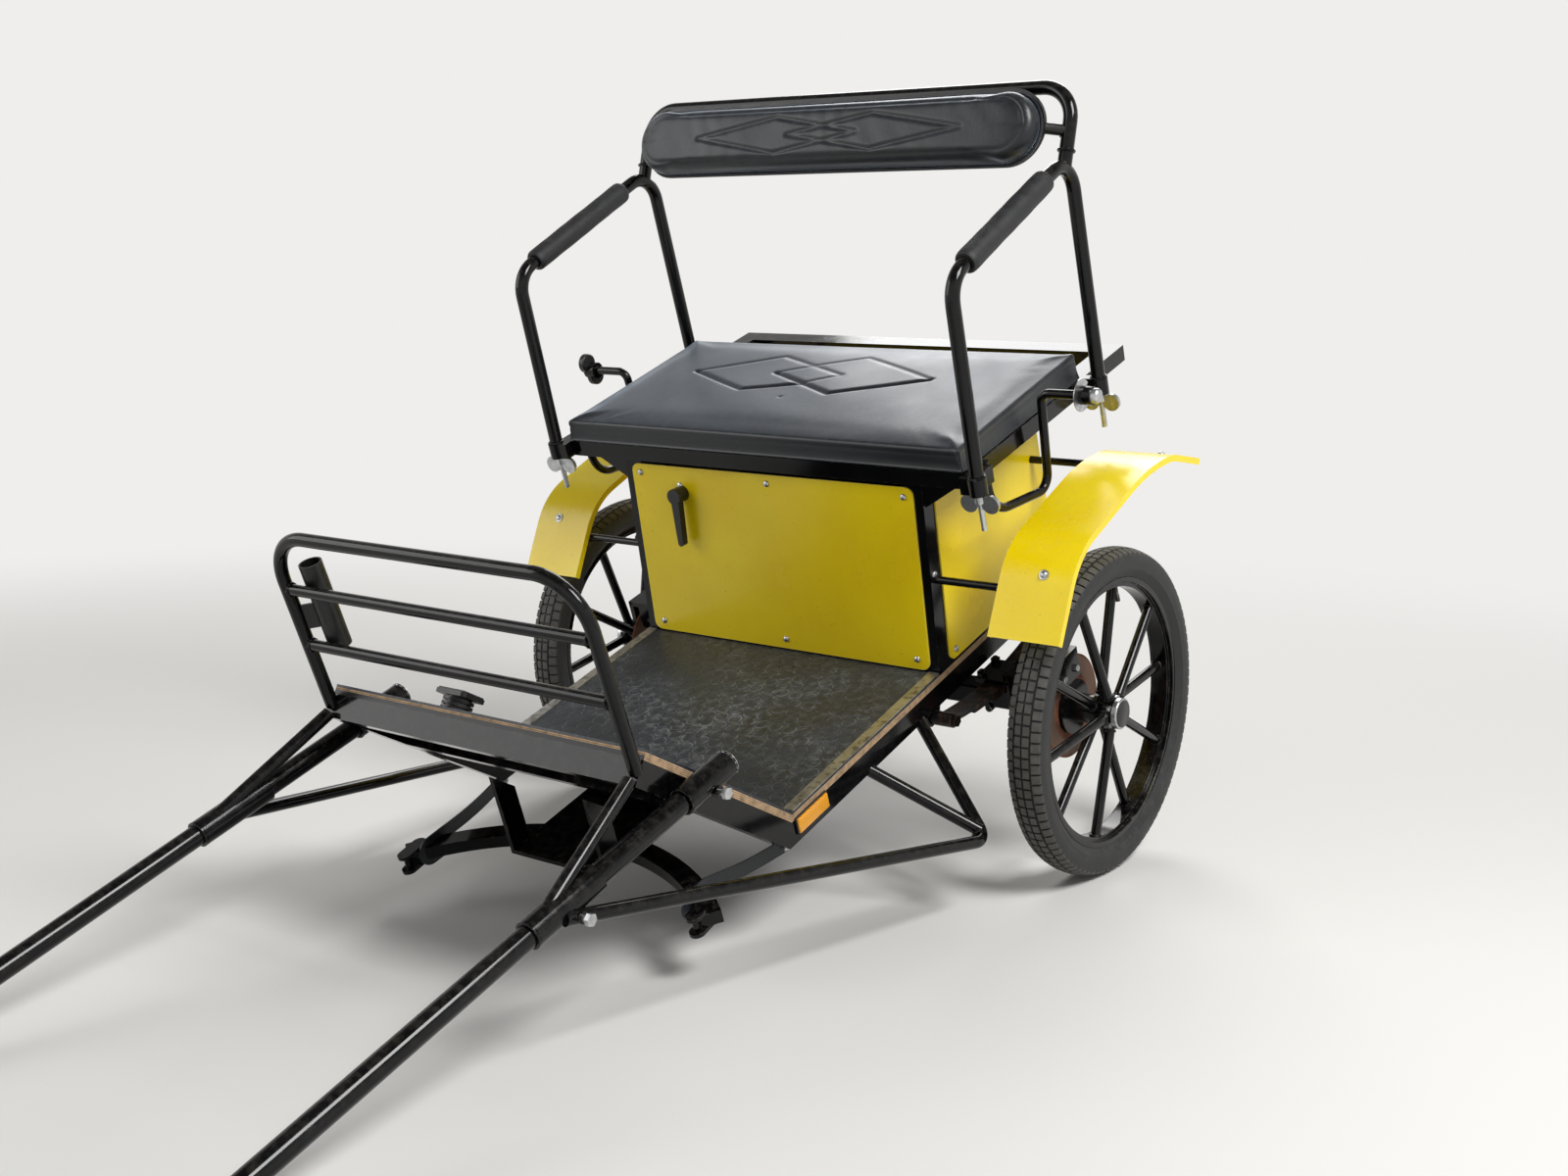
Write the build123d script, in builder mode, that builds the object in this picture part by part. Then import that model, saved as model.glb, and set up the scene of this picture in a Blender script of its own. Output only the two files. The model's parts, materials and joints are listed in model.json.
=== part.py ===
from build123d import *
import os
from math import asin, atan2, cos, degrees, hypot, radians, sin, sqrt, tan

# A two-wheeled pony cart: a tubular steel frame with a sheet-panelled seat box, an upholstered
# seat, spoked wheels on a leaf-sprung axle, and a pair of draught shafts.
#
# Every piece is modelled as the cart stands when it is driven: -Y is forward, +X is the
# driver's left, +Z is up, and the origin is above the middle of the axle, at the height of the
# floor's walking surface. The last section leans the whole cart onto its shafts, as it parks,
# and sets it down with its wheels at Z = 0.

# Wheels and running gear, sizes in mm
TYRE_DIAMETER = 590.0
TYRE_WIDTH = 70.0
TYRE_SECTION = 62.0
RIM_WIDTH = 46.0
RIM_WALL = 4.0
RIM_EDGE = 1.2
WHEEL_X = 552.0
AXLE_DROP = 139.0
SPOKE_COUNT = 10
SPOKE_START = -8.0
SPOKE_DIAMETER = 18.0
HUB_SET_IN = 18.0
HUB_DIAMETER = 54.0
HUB_LENGTH = 92.0
HUB_BARREL = 44.0
HUB_FLANGE = 64.0
HUB_FLANGE_THICKNESS = 8.0
HUB_FLANGE_SPREAD = 24.0
HUB_FLANGE_SET_OUT = 22.0
CARRIER_DIAMETER = 100.0
CARRIER_THICKNESS = 8.0
HUB_CAP_DIAMETER = 56.0
HUB_CAP_HEIGHT = 10.0
HUB_CAP_CROWN = 3.0
SPINDLE_DIAMETER = 30.0
DISC_DIAMETER = 190.0
DISC_BORE = 40.0
DISC_THICKNESS = 5.0
AXLE_BEAM = 40.0
AXLE_CORNER = 4.0
SPRING_X = 350.0
SPRING_SPAN = 400.0
SPRING_RISE = 25.0
SPRING_WIDTH = 40.0
SPRING_LEAF = 6.0
SPRING_EYE = 26.0
CLAMP_PLATE = 8.0
CLAMP_PLATE_SIZE = 72.0
U_BOLT = 10.0
U_BOLT_SPREAD = 52.0
U_BOLT_BEND = 8.0
U_BOLT_NUT = 17.0
U_BOLT_NUT_HEIGHT = 8.0
U_BOLT_END = 4.0
SPRING_SEAT = 4.0
SPRING_SEAT_LENGTH = 30.0
SPRING_LEAVES = ((0.0, 1.0), (1.0, 0.66), (2.0, 0.36))
EYE_BOLT = 12.0
EYE_BOLT_HEAD = 19.0
EYE_BOLT_HEAD_HEIGHT = 7.0
EAR_THICKNESS = 6.0
BRAKE_PLATE = 6.0
CALIPER_DEPTH = 44.0
CALIPER_Y = -16.0
CALIPER_LENGTH = 74.0
CALIPER_HEIGHT = 46.0
PAD_GAP = 5.0

# Platform
FLOOR_HALF_WIDTH = 337.0
MAT_THICKNESS = 4.0
BOARD_THICKNESS = 12.0
RAIL_WIDTH = 30.0
RAIL_DEPTH = 40.0
FOLD_Y = -628.0
TOE_ANGLE = 46.0
TOE_LENGTH = 389.0
TOE_CROSS_REACH = 175.0
EDGE_STRIP_WIDTH = 20.0
EDGE_STRIP_THICKNESS = 2.0
REFLECTOR_LENGTH = 87.0
REFLECTOR_HEIGHT = 30.0
REFLECTOR_THICKNESS = 8.0

# Seat box
BOX_FRONT_Y = -174.0
BOX_REAR_Y = 262.0
BOX_HEIGHT = 354.0
BOX_LEAN = 7.4
POST = 40.0
BOX_RAIL = 30.0
PANEL_THICKNESS = 3.0
PANEL_CORNER = 16.0
PANEL_SIDE_MARGIN = 18.0
PANEL_TOP_MARGIN = 16.0
PANEL_EDGE_MARGIN = 4.0

# Seat
SEAT_HALF_WIDTH = 443.0
SEAT_FRONT_Y = -150.0
SEAT_REAR_Y = 436.0
SEAT_RAIL_HEIGHT = 30.0
SEAT_RAIL_WIDTH = 40.0
GUSSET_DROP = 54.0
GUSSET_WIDTH = 14.0
CUSHION_DEPTH = 418.0
CUSHION_THICKNESS = 45.0
CUSHION_EDGE = 12.0

# Arm rests and back rest
ARM_TUBE = 25.0
ARM_LUG = 32.0
ARM_X = 473.0
ARM_FOOT_Y = -162.0
ARM_FRONT_Y = -146.0
ARM_FRONT_HEIGHT = 716.0
ARM_REAR_Y = 276.0
ARM_REAR_HEIGHT = 790.0
ARM_BEND = 52.0
GRIP_DIAMETER = 42.0
GRIP_START_Y = -95.0
GRIP_END_Y = 182.0
HOOP_LEAN = 31.0
HOOP_FOOT_Y = 261.0
HOOP_SINK = 14.0
HOOP_RISE = 104.0
HOOP_BEND = 60.0
BACK_WIDTH = 888.0
BACK_HEIGHT = 135.0
BACK_THICKNESS = 46.0
BACK_SHELL = 9.0
BACK_CENTRE_RISE = 38.0
BACK_STANDOFF = 13.8
BACK_STRUT = 20.0
BACK_STRUT_INSET = 20.0

# Dashboard rail
DASH_TUBE = 22.0
DASH_BAR = 19.0
DASH_HALF_WIDTH = 331.0
DASH_TOP_HEIGHT = 571.0
DASH_LEAN = 2.2
DASH_BEND = 85.0
DASH_BARS = (372.0, 474.0)

# Shafts and their mounts
SHAFT_DIAMETER = 34.0
SHAFT_HEIGHT = 182.0
SHAFT_REAR_Y = -772.0
SHAFT_BEND_Y = -1753.0
SHAFT_RISE_ANGLE = 30.0
SHAFT_RISE_LENGTH = 450.0
SHAFT_LEVEL_ANGLE = 8.0
SHAFT_TIP_LENGTH = 250.0
SHAFT_BEND_RADIUS = 350.0
SLEEVE_DIAMETER = 43.0
SLEEVE_FIT = 0.3
REAR_SLEEVE_LENGTH = 104.0
FRONT_SLEEVE_START_Y = -1075.0
FRONT_SLEEVE_LENGTH = 134.0
GUARD_TUBE = 22.0
GUARD_BEND_POINT = (512.0, -366.0, -186.0)
GUARD_BEND = 32.0
GUARD_REAR_Y = -240.0
GUARD_BRACE_Y = -412.0
GUARD_WELD = 6.0
# Offsets (x, y, z) of tube ends: from the dashboard's foot, the front sleeve's rear, the guard's bend
BRACE_FOOT = (-4.0, -14.0, -6.0)
BRACE_HEAD = (-2.0, -96.0, 10.0)
GUARD_HEAD = (16.0, -84.0, -6.0)
GUARD_BRACE_HEAD = (-12.0, 4.0, 14.0)
BORE_OVERRUN = 60.0

# Swingletree
SWINGLETREE_LENGTH = 640.0
SWINGLETREE_SWEEP = 130.0
SWINGLETREE_HEIGHT = 34.0
SWINGLETREE_THICKNESS = 22.0
SWINGLETREE_PIVOT_Y = -742.0
SWINGLETREE_TURN = 4.0
HANGER_X = 104.0
HANGER_PLATE = 8.0
HANGER_FLAT = 40.0
PIVOT_BOLT = 16.0
PIVOT_NUT = 30.0
PIVOT_NUT_HEIGHT = 10.0
SHACKLE_INSET = 18.0
SHACKLE_PIN = 10.0
SHACKLE_PLATE = 6.0
SHACKLE_WIDTH = 26.0
SHACKLE_LENGTH = 62.0

# Fenders: outline of the upper face in the plane of the wheel, from the front lip
FENDER_X = 540.0
FENDER_WIDTH = 136.0
FENDER_SHEET = 3.0
FENDER_FLANGE = 12.0
FENDER_CORNERS = ((-206.0, 112.0), (-104.0, 234.0), (160.0, 266.0), (262.0, 250.0), (366.0, 196.0))
FENDER_RADII = (150.0, 420.0, 160.0)
STAY_DIAMETER = 14.0
STAY_END = 48.0
STAY_FRONT_REACH = 88.0
STAY_REAR_REACH = 68.0

# Small fittings
LAMP_ROD = 16.0
LAMP_ROD_Y = 72.0
LAMP_ROD_HEIGHT = 437.0
LAMP_ROD_X = 474.0
LAMP_ROD_REACH = 108.0
# Bends of the rod, from its front end
LAMP_ROD_BENDS = (58.0, 26.0, 18.0)
LAMP_LEG_X = 462.0
LAMP_LOOP_LENGTH = 172.0
LAMP_LOOP_DROP = 96.0
LAMP_LOOP_LIFT = 30.0
WHIP_TUBE = 38.0
WHIP_WALL = 3.0
WHIP_X = -290.0
WHIP_LENGTH = 150.0
WHIP_TOP = 512.0
WHIP_WEB_THICKNESS = 5.0
WHIP_WEB_HEIGHT = 42.0
WHIP_WEB_LIFT = 38.0
PEDAL_X = -225.0
PEDAL_REACH = 225.0
PEDAL_WIDTH = 70.0
PEDAL_LENGTH = 56.0
PEDAL_PLATE = 8.0
BOOT_DIAMETER = 54.0
BOOT_NECK = 44.0
BOOT_RIB = 5.0
BOOT_GAP = 3.0
BOOT_RIBS = 5
LEVER_X = -200.0
LEVER_DROP = 64.0
LEVER_KNOB = 30.0
LEVER_KNOB_DEPTH = 28.0
LEVER_ARM_LENGTH = 92.0
LEVER_ARM_TOP = 19.0
LEVER_ARM_TIP = 12.0
LEVER_ARM_START = 12.0
LEVER_ARM_DEPTH = 14.0
# Clamping screws of the shafts: how far along, and how far out the boss that each one threads into ends
SHAFT_SCREWS = (("rear", -821.0, 24.0), ("front", -1140.0, 32.0))
SCREW_DROP = 13.0
SCREW_BOSS = 18.0
SCREW_DIAMETER = 10.0
SCREW_SHANK = 9.0
SCREW_HEAD = 17.0
SCREW_HEAD_HEIGHT = 7.0
WING_STUD = 10.0
WING_STUD_LENGTH = 64.0
WING_HUB = 18.0
WING_HUB_HEIGHT = 14.0
WING_REACH = 20.0
WING_DIAMETER = 32.0
WING_THICKNESS = 7.0
CLAMP_LENGTH = 24.0
CLAMP_DIAMETER = 32.0
TOUCH = 0.15

# Worked out from the sizes above
TYRE_RADIUS = TYRE_DIAMETER / 2
AXLE_Z = -AXLE_DROP
RIM_RADIUS = TYRE_RADIUS - TYRE_SECTION
HUB_X = WHEEL_X - HUB_SET_IN
DISC_X = HUB_X - HUB_LENGTH / 2 - DISC_THICKNESS / 2
BOARD_TOP = -MAT_THICKNESS
FRAME_TOP = BOARD_TOP - BOARD_THICKNESS
FRAME_BOTTOM = FRAME_TOP - RAIL_DEPTH
RAIL_X = FLOOR_HALF_WIDTH - RAIL_WIDTH / 2
TOE_TOP_Y = FOLD_Y - TOE_LENGTH * cos(radians(TOE_ANGLE))
TOE_TOP_Z = TOE_LENGTH * sin(radians(TOE_ANGLE))
SEAT_RAIL_TOP = BOX_HEIGHT + SEAT_RAIL_HEIGHT
CUSHION_TOP = SEAT_RAIL_TOP + CUSHION_THICKNESS
HOOP_TOP_HEIGHT = ARM_REAR_HEIGHT + HOOP_RISE
BACK_CENTRE_HEIGHT = ARM_REAR_HEIGHT + BACK_CENTRE_RISE
LEVER_HEIGHT = BOX_HEIGHT - LEVER_DROP
SHAFT_X = FLOOR_HALF_WIDTH + SLEEVE_DIAMETER / 2 + TOUCH
SIDES = (("right", -1), ("left", 1))


def rod(points, diameter, bend=0.0, mode=Mode.ADD):
    """A round bar or tube along a straight or bent run, added to or cut from the piece in hand."""
    with BuildLine():
        run = FilletPolyline(*points, radius=bend) if bend else Line(*points)
    with BuildSketch(Plane(origin=run @ 0, z_dir=run % 0)) as section:
        Circle(diameter / 2)
    sweep(sections=section.sketch, path=run, mode=mode)


def side_plate(outline, x_inner, thickness, corner=0.0, mode=Mode.ADD):
    """A plate square to the axle, cut to an outline of (y, z) points, thickened towards +X."""
    with BuildSketch(Plane.YZ.offset(x_inner)) as sheet:
        with BuildLine():
            Polyline(*outline, close=True)
        make_face()
        if corner:
            fillet(sheet.vertices(), radius=corner)
    extrude(sheet.sketch, amount=thickness, mode=mode)


def hexagon(origin, direction, across, height):
    """A hexagonal bolt head or nut that grows along a direction from a point."""
    with BuildSketch(Plane(origin=origin, z_dir=direction)) as flats:
        RegularPolygon(across / sqrt(3), 6)
    extrude(flats.sketch, amount=height)


def floor_outline(depth, thickness, rear_y, front=TOE_LENGTH):
    """(y, z) outline of a layer of the floor that turns up into the toe board."""
    mitre = tan(radians(TOE_ANGLE / 2))
    slope = radians(TOE_ANGLE)

    def toe_end(d):
        return (
            FOLD_Y - front * cos(slope) - d * sin(slope),
            front * sin(slope) - d * cos(slope),
        )

    low = depth + thickness
    return [
        (rear_y, -depth),
        (FOLD_Y - depth * mitre, -depth),
        toe_end(depth),
        toe_end(low),
        (FOLD_Y - low * mitre, -low),
        (rear_y, -low),
    ]


def box_front(z):
    """Y of the seat box's front face at a height above the floor."""
    return BOX_FRONT_Y + z * tan(radians(BOX_LEAN))


def at(x, y, z, side=1):
    return (side * x, y, z)


pieces = {}

# Platform frame: two rails that turn up at the toe board, with cross members
with BuildPart() as platform_frame:
    rail = floor_outline(-FRAME_TOP, RAIL_DEPTH, BOX_REAR_Y)
    for side in (-1, 1):
        side_plate(rail, side * RAIL_X - RAIL_WIDTH / 2, RAIL_WIDTH)
    inner = 2 * (FLOOR_HALF_WIDTH - RAIL_WIDTH)
    cross_ys = (BOX_REAR_Y - RAIL_WIDTH / 2, 0.0, BOX_FRONT_Y, FOLD_Y + RAIL_WIDTH)
    with Locations(*[(0, y, FRAME_TOP - RAIL_DEPTH / 2) for y in cross_ys]):
        Box(inner, RAIL_WIDTH, RAIL_DEPTH)
    toe_plane = Plane(
        origin=(0, TOE_TOP_Y, TOE_TOP_Z),
        x_dir=(1, 0, 0),
        z_dir=(0, sin(radians(TOE_ANGLE)), cos(radians(TOE_ANGLE))),
    )
    with BuildSketch(toe_plane.offset(FRAME_TOP)):
        with Locations((0, RAIL_WIDTH / 2), (0, TOE_CROSS_REACH)):
            Rectangle(inner, RAIL_WIDTH)
    extrude(amount=-RAIL_DEPTH)
pieces["platform_frame"] = platform_frame

with BuildPart() as floor_board:
    mitre = tan(radians(TOE_ANGLE / 2))
    side_plate(
        [
            (BOX_REAR_Y, BOARD_TOP),
            (FOLD_Y + BOARD_TOP * mitre, BOARD_TOP),
            (FOLD_Y + FRAME_TOP * mitre, FRAME_TOP),
            (BOX_REAR_Y, FRAME_TOP),
        ],
        -FLOOR_HALF_WIDTH,
        2 * FLOOR_HALF_WIDTH,
    )
pieces["floor_board"] = floor_board

with BuildPart() as toe_board:
    outline = floor_outline(MAT_THICKNESS, BOARD_THICKNESS, BOX_REAR_Y)
    side_plate(outline[1:5], -FLOOR_HALF_WIDTH, 2 * FLOOR_HALF_WIDTH)
pieces["toe_board"] = toe_board

with BuildPart() as floor_mat:
    side_plate(
        floor_outline(0.0, MAT_THICKNESS, BOX_FRONT_Y),
        -FLOOR_HALF_WIDTH,
        2 * FLOOR_HALF_WIDTH,
    )
pieces["floor_mat"] = floor_mat

with BuildPart() as edge_strips:
    strip_length = BOX_FRONT_Y - FOLD_Y - EDGE_STRIP_THICKNESS
    for side in (-1, 1):
        with Locations(
            (
                side * (FLOOR_HALF_WIDTH - EDGE_STRIP_WIDTH / 2),
                FOLD_Y + EDGE_STRIP_THICKNESS + strip_length / 2,
                EDGE_STRIP_THICKNESS / 2,
            )
        ):
            Box(EDGE_STRIP_WIDTH, strip_length, EDGE_STRIP_THICKNESS)
pieces["edge_strips"] = edge_strips

with BuildPart() as side_reflectors:
    for side in (-1, 1):
        with Locations(
            (
                side * (FLOOR_HALF_WIDTH + REFLECTOR_THICKNESS / 2),
                FOLD_Y + REFLECTOR_LENGTH / 2,
                FRAME_TOP - RAIL_DEPTH / 2 + 8.0,
            )
        ):
            Box(REFLECTOR_THICKNESS, REFLECTOR_LENGTH, REFLECTOR_HEIGHT)
pieces["side_reflectors"] = side_reflectors

# Seat box: four posts with rails, and a sheet panel on each side
with BuildPart() as box_frame:
    front = PANEL_THICKNESS / cos(radians(BOX_LEAN))
    for side in (-1, 1):
        x_inner = side * (FLOOR_HALF_WIDTH - POST / 2) - POST / 2
        side_plate(
            [
                (box_front(BOARD_TOP) + front, BOARD_TOP),
                (box_front(BOX_HEIGHT) + front, BOX_HEIGHT),
                (box_front(BOX_HEIGHT) + front + POST, BOX_HEIGHT),
                (box_front(BOARD_TOP) + front + POST, BOARD_TOP),
            ],
            x_inner,
            POST,
        )
        with Locations(
            (side * (FLOOR_HALF_WIDTH - POST / 2), BOX_REAR_Y - POST / 2, (BOX_HEIGHT + BOARD_TOP) / 2)
        ):
            Box(POST, POST, BOX_HEIGHT - BOARD_TOP)
        for z in (BOARD_TOP + BOX_RAIL / 2, BOX_HEIGHT - BOX_RAIL / 2):
            y_front = box_front(z) + front + POST / 2
            y_rear = BOX_REAR_Y - POST / 2
            with Locations((side * (FLOOR_HALF_WIDTH - BOX_RAIL / 2), (y_front + y_rear) / 2, z)):
                Box(BOX_RAIL, y_rear - y_front, BOX_RAIL)
    for z in (BOARD_TOP + BOX_RAIL / 2, BOX_HEIGHT - BOX_RAIL / 2):
        for y in (box_front(z) + front + BOX_RAIL / 2 + 3.0, BOX_REAR_Y - BOX_RAIL / 2):
            with Locations((0, y, z)):
                Box(2 * (FLOOR_HALF_WIDTH - POST / 2), BOX_RAIL, BOX_RAIL)
pieces["box_frame"] = box_frame

front_plane = Plane(
    origin=(0, BOX_FRONT_Y, 0),
    x_dir=(1, 0, 0),
    z_dir=(0, -cos(radians(BOX_LEAN)), sin(radians(BOX_LEAN))),
)
with BuildPart() as box_front_panel:
    panel_bottom = EDGE_STRIP_THICKNESS + 1.0
    panel_top = (BOX_HEIGHT - PANEL_TOP_MARGIN) / cos(radians(BOX_LEAN))
    with BuildSketch(front_plane):
        with Locations((0, (panel_bottom + panel_top) / 2)):
            RectangleRounded(
                2 * (FLOOR_HALF_WIDTH - PANEL_SIDE_MARGIN), panel_top - panel_bottom, PANEL_CORNER
            )
    extrude(amount=-PANEL_THICKNESS)
pieces["box_front_panel"] = box_front_panel

for name, side in SIDES:
    with BuildPart() as side_panel:
        low = PANEL_EDGE_MARGIN
        high = BOX_HEIGHT - PANEL_TOP_MARGIN
        side_plate(
            [
                (box_front(low) + POST - low, low),
                (box_front(high) + POST - low, high),
                (BOX_REAR_Y - low, high),
                (BOX_REAR_Y - low, low),
            ],
            side * (FLOOR_HALF_WIDTH + PANEL_THICKNESS / 2) - PANEL_THICKNESS / 2,
            PANEL_THICKNESS,
            corner=PANEL_CORNER,
        )
    pieces[f"box_side_panel_{name}"] = side_panel

with BuildPart() as box_rear_panel:
    with BuildSketch(Plane.XZ.offset(-BOX_REAR_Y)):
        with Locations((0, (low + high) / 2)):
            RectangleRounded(
                2 * (FLOOR_HALF_WIDTH - PANEL_SIDE_MARGIN), high - low, PANEL_CORNER
            )
    extrude(amount=-PANEL_THICKNESS)
pieces["box_rear_panel"] = box_rear_panel

# Seat frame: a flat rectangle of tube that reaches past the cushion as a rear carrier
with BuildPart() as seat_frame:
    length = SEAT_REAR_Y - SEAT_FRONT_Y
    with Locations((0, (SEAT_REAR_Y + SEAT_FRONT_Y) / 2, BOX_HEIGHT + SEAT_RAIL_HEIGHT / 2)):
        Box(2 * SEAT_HALF_WIDTH, length, SEAT_RAIL_HEIGHT)
        Box(
            2 * (SEAT_HALF_WIDTH - SEAT_RAIL_WIDTH),
            length - 2 * SEAT_RAIL_WIDTH,
            SEAT_RAIL_HEIGHT,
            mode=Mode.SUBTRACT,
        )
    cushion_rear = SEAT_FRONT_Y + CUSHION_DEPTH
    with Locations((0, cushion_rear, BOX_HEIGHT + SEAT_RAIL_HEIGHT / 2)):
        Box(2 * SEAT_HALF_WIDTH - SEAT_RAIL_WIDTH, SEAT_RAIL_WIDTH, SEAT_RAIL_HEIGHT)
    lug_width = ARM_X - SEAT_HALF_WIDTH
    lug_front = ARM_FOOT_Y - ARM_LUG / 4
    lug_rear = SEAT_FRONT_Y + SEAT_RAIL_WIDTH
    lug_z = BOX_HEIGHT + SEAT_RAIL_HEIGHT / 2
    for side in (-1, 1):
        x = side * (SEAT_HALF_WIDTH + lug_width / 2)
        with Locations((x, (lug_front + lug_rear) / 2, lug_z)):
            Box(lug_width, lug_rear - lug_front, SEAT_RAIL_HEIGHT)
        with Locations((x, ARM_REAR_Y, lug_z)):
            Box(lug_width, ARM_LUG / 2, SEAT_RAIL_HEIGHT)
        with Locations((side * ARM_X, ARM_FOOT_Y, lug_z), (side * ARM_X, ARM_REAR_Y, lug_z)):
            Cylinder(ARM_LUG / 2, SEAT_RAIL_HEIGHT)
        for low_y, high_y in ((ARM_FOOT_Y, ARM_FRONT_Y), (ARM_REAR_Y, ARM_REAR_Y)):
            rod(
                [at(ARM_X, low_y, BOX_HEIGHT, side), at(ARM_X, high_y, ARM_FRONT_HEIGHT, side)],
                ARM_TUBE + 2 * TOUCH,
                mode=Mode.SUBTRACT,
            )
    gusset = (
        (FLOOR_HALF_WIDTH + TOUCH, BOX_HEIGHT),
        (SEAT_HALF_WIDTH - 20.0, BOX_HEIGHT),
        (FLOOR_HALF_WIDTH + TOUCH, BOX_HEIGHT - GUSSET_DROP),
    )
    for side in (-1, 1):
        with BuildSketch(Plane.XZ.offset(-(SEAT_FRONT_Y + SEAT_RAIL_WIDTH - GUSSET_WIDTH))):
            with BuildLine():
                Polyline(*[(side * x, z) for x, z in gusset], close=True)
            make_face()
        extrude(amount=-GUSSET_WIDTH)
pieces["seat_frame"] = seat_frame

with BuildPart() as seat_cushion:
    with Locations((0, SEAT_FRONT_Y + CUSHION_DEPTH / 2, SEAT_RAIL_TOP + CUSHION_THICKNESS / 2)):
        Box(2 * SEAT_HALF_WIDTH, CUSHION_DEPTH, CUSHION_THICKNESS)
    fillet(seat_cushion.edges().filter_by(Axis.Z), radius=CUSHION_EDGE)
    fillet(seat_cushion.faces().sort_by(Axis.Z)[-1].edges(), radius=CUSHION_EDGE)
pieces["seat_cushion"] = seat_cushion

# Arm and back frame: two side loops and the hoop behind the back rest, all bent tube
hoop_slope = tan(radians(HOOP_LEAN))
arm_slope = (ARM_REAR_HEIGHT - ARM_FRONT_HEIGHT) / (ARM_REAR_Y - ARM_FRONT_Y)
hoop_foot_z = ARM_REAR_HEIGHT + (HOOP_FOOT_Y - ARM_REAR_Y) * arm_slope
hoop_top_y = HOOP_FOOT_Y + (HOOP_TOP_HEIGHT - hoop_foot_z) * hoop_slope
with BuildPart() as back_frame:
    for side in (-1, 1):
        rod(
            [
                at(ARM_X, ARM_FOOT_Y, BOX_HEIGHT, side),
                at(ARM_X, ARM_FRONT_Y, ARM_FRONT_HEIGHT, side),
                at(ARM_X, ARM_REAR_Y, ARM_REAR_HEIGHT, side),
                at(ARM_X, ARM_REAR_Y, BOX_HEIGHT, side),
            ],
            ARM_TUBE,
            ARM_BEND,
        )
    foot_y = HOOP_FOOT_Y - HOOP_SINK * sin(radians(HOOP_LEAN))
    foot_z = hoop_foot_z - HOOP_SINK * cos(radians(HOOP_LEAN))
    rod(
        [
            at(ARM_X, foot_y, foot_z, -1),
            at(ARM_X, hoop_top_y, HOOP_TOP_HEIGHT, -1),
            at(ARM_X, hoop_top_y, HOOP_TOP_HEIGHT, 1),
            at(ARM_X, foot_y, foot_z, 1),
        ],
        ARM_TUBE,
        HOOP_BEND,
    )
pieces["back_frame"] = back_frame

# Back rest: a stadium-shaped pad on a moulded shell, in front of the hoop's legs
back_normal = (0, -cos(radians(HOOP_LEAN)), sin(radians(HOOP_LEAN)))
back_y = HOOP_FOOT_Y + (BACK_CENTRE_HEIGHT - hoop_foot_z) * hoop_slope
back_plane = Plane(
    origin=(0, back_y, BACK_CENTRE_HEIGHT), x_dir=(1, 0, 0), z_dir=back_normal
).offset(ARM_TUBE / 2 + BACK_STANDOFF)
strut_root = back_plane.from_local_coords(
    Vector(BACK_WIDTH / 2 - BACK_STRUT_INSET, 0, BACK_SHELL / 2)
)
with BuildPart() as backrest_shell:
    with BuildSketch(back_plane):
        SlotOverall(BACK_WIDTH, BACK_HEIGHT)
    extrude(amount=BACK_SHELL)
    for side in (-1, 1):
        rod(
            [
                at(strut_root.X, strut_root.Y, strut_root.Z, side),
                at(ARM_X, back_y, BACK_CENTRE_HEIGHT, side),
            ],
            BACK_STRUT,
        )
        rod(
            [
                at(ARM_X, back_y - BACK_HEIGHT * hoop_slope, BACK_CENTRE_HEIGHT - BACK_HEIGHT, side),
                at(ARM_X, back_y + BACK_HEIGHT * hoop_slope, BACK_CENTRE_HEIGHT + BACK_HEIGHT, side),
            ],
            ARM_TUBE + 2 * TOUCH,
            mode=Mode.SUBTRACT,
        )
    with BuildSketch(back_plane.offset(BACK_SHELL)) as pad_side:
        Rectangle(2 * ARM_X, BACK_HEIGHT)
    extrude(pad_side.sketch, amount=BACK_STRUT, mode=Mode.SUBTRACT)
pieces["backrest_shell"] = backrest_shell

with BuildPart() as backrest_pad:
    with BuildSketch(back_plane.offset(BACK_SHELL)):
        SlotOverall(BACK_WIDTH - 4.0, BACK_HEIGHT - 4.0)
    extrude(amount=BACK_THICKNESS)
    fillet(backrest_pad.faces().sort_by(Axis.Y)[0].edges(), radius=CUSHION_EDGE + 8.0)
pieces["backrest_pad"] = backrest_pad

for name, side in SIDES:
    with BuildPart() as grip:
        grip_start = at(ARM_X, GRIP_START_Y, ARM_FRONT_HEIGHT + (GRIP_START_Y - ARM_FRONT_Y) * arm_slope, side)
        grip_end = at(ARM_X, GRIP_END_Y, ARM_FRONT_HEIGHT + (GRIP_END_Y - ARM_FRONT_Y) * arm_slope, side)
        along = Vector(*grip_end) - Vector(*grip_start)
        with BuildSketch(Plane(origin=grip_start, z_dir=along)):
            Circle(GRIP_DIAMETER / 2)
            Circle(ARM_TUBE / 2 + TOUCH, mode=Mode.SUBTRACT)
        extrude(amount=along.length)
    pieces[f"arm_grip_{name}"] = grip

# Fenders and the round stays that carry them off the seat box
for name, side in SIDES:
    with BuildPart() as fender:
        for start, width, depth in (
            (0.0, FENDER_WIDTH, FENDER_SHEET),
            (0.0, FENDER_SHEET, FENDER_FLANGE),
            (FENDER_WIDTH - FENDER_SHEET, FENDER_SHEET, FENDER_FLANGE),
        ):
            x_inner = side * FENDER_X - FENDER_WIDTH / 2 + start
            with BuildSketch(Plane.YZ.offset(x_inner)) as layer:
                with BuildLine():
                    FilletPolyline(*FENDER_CORNERS, radius=FENDER_RADII)
                    offset(amount=depth, side=Side.RIGHT)
                make_face()
            extrude(layer.sketch, amount=width)
    pieces[f"fender_{name}"] = fender

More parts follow.
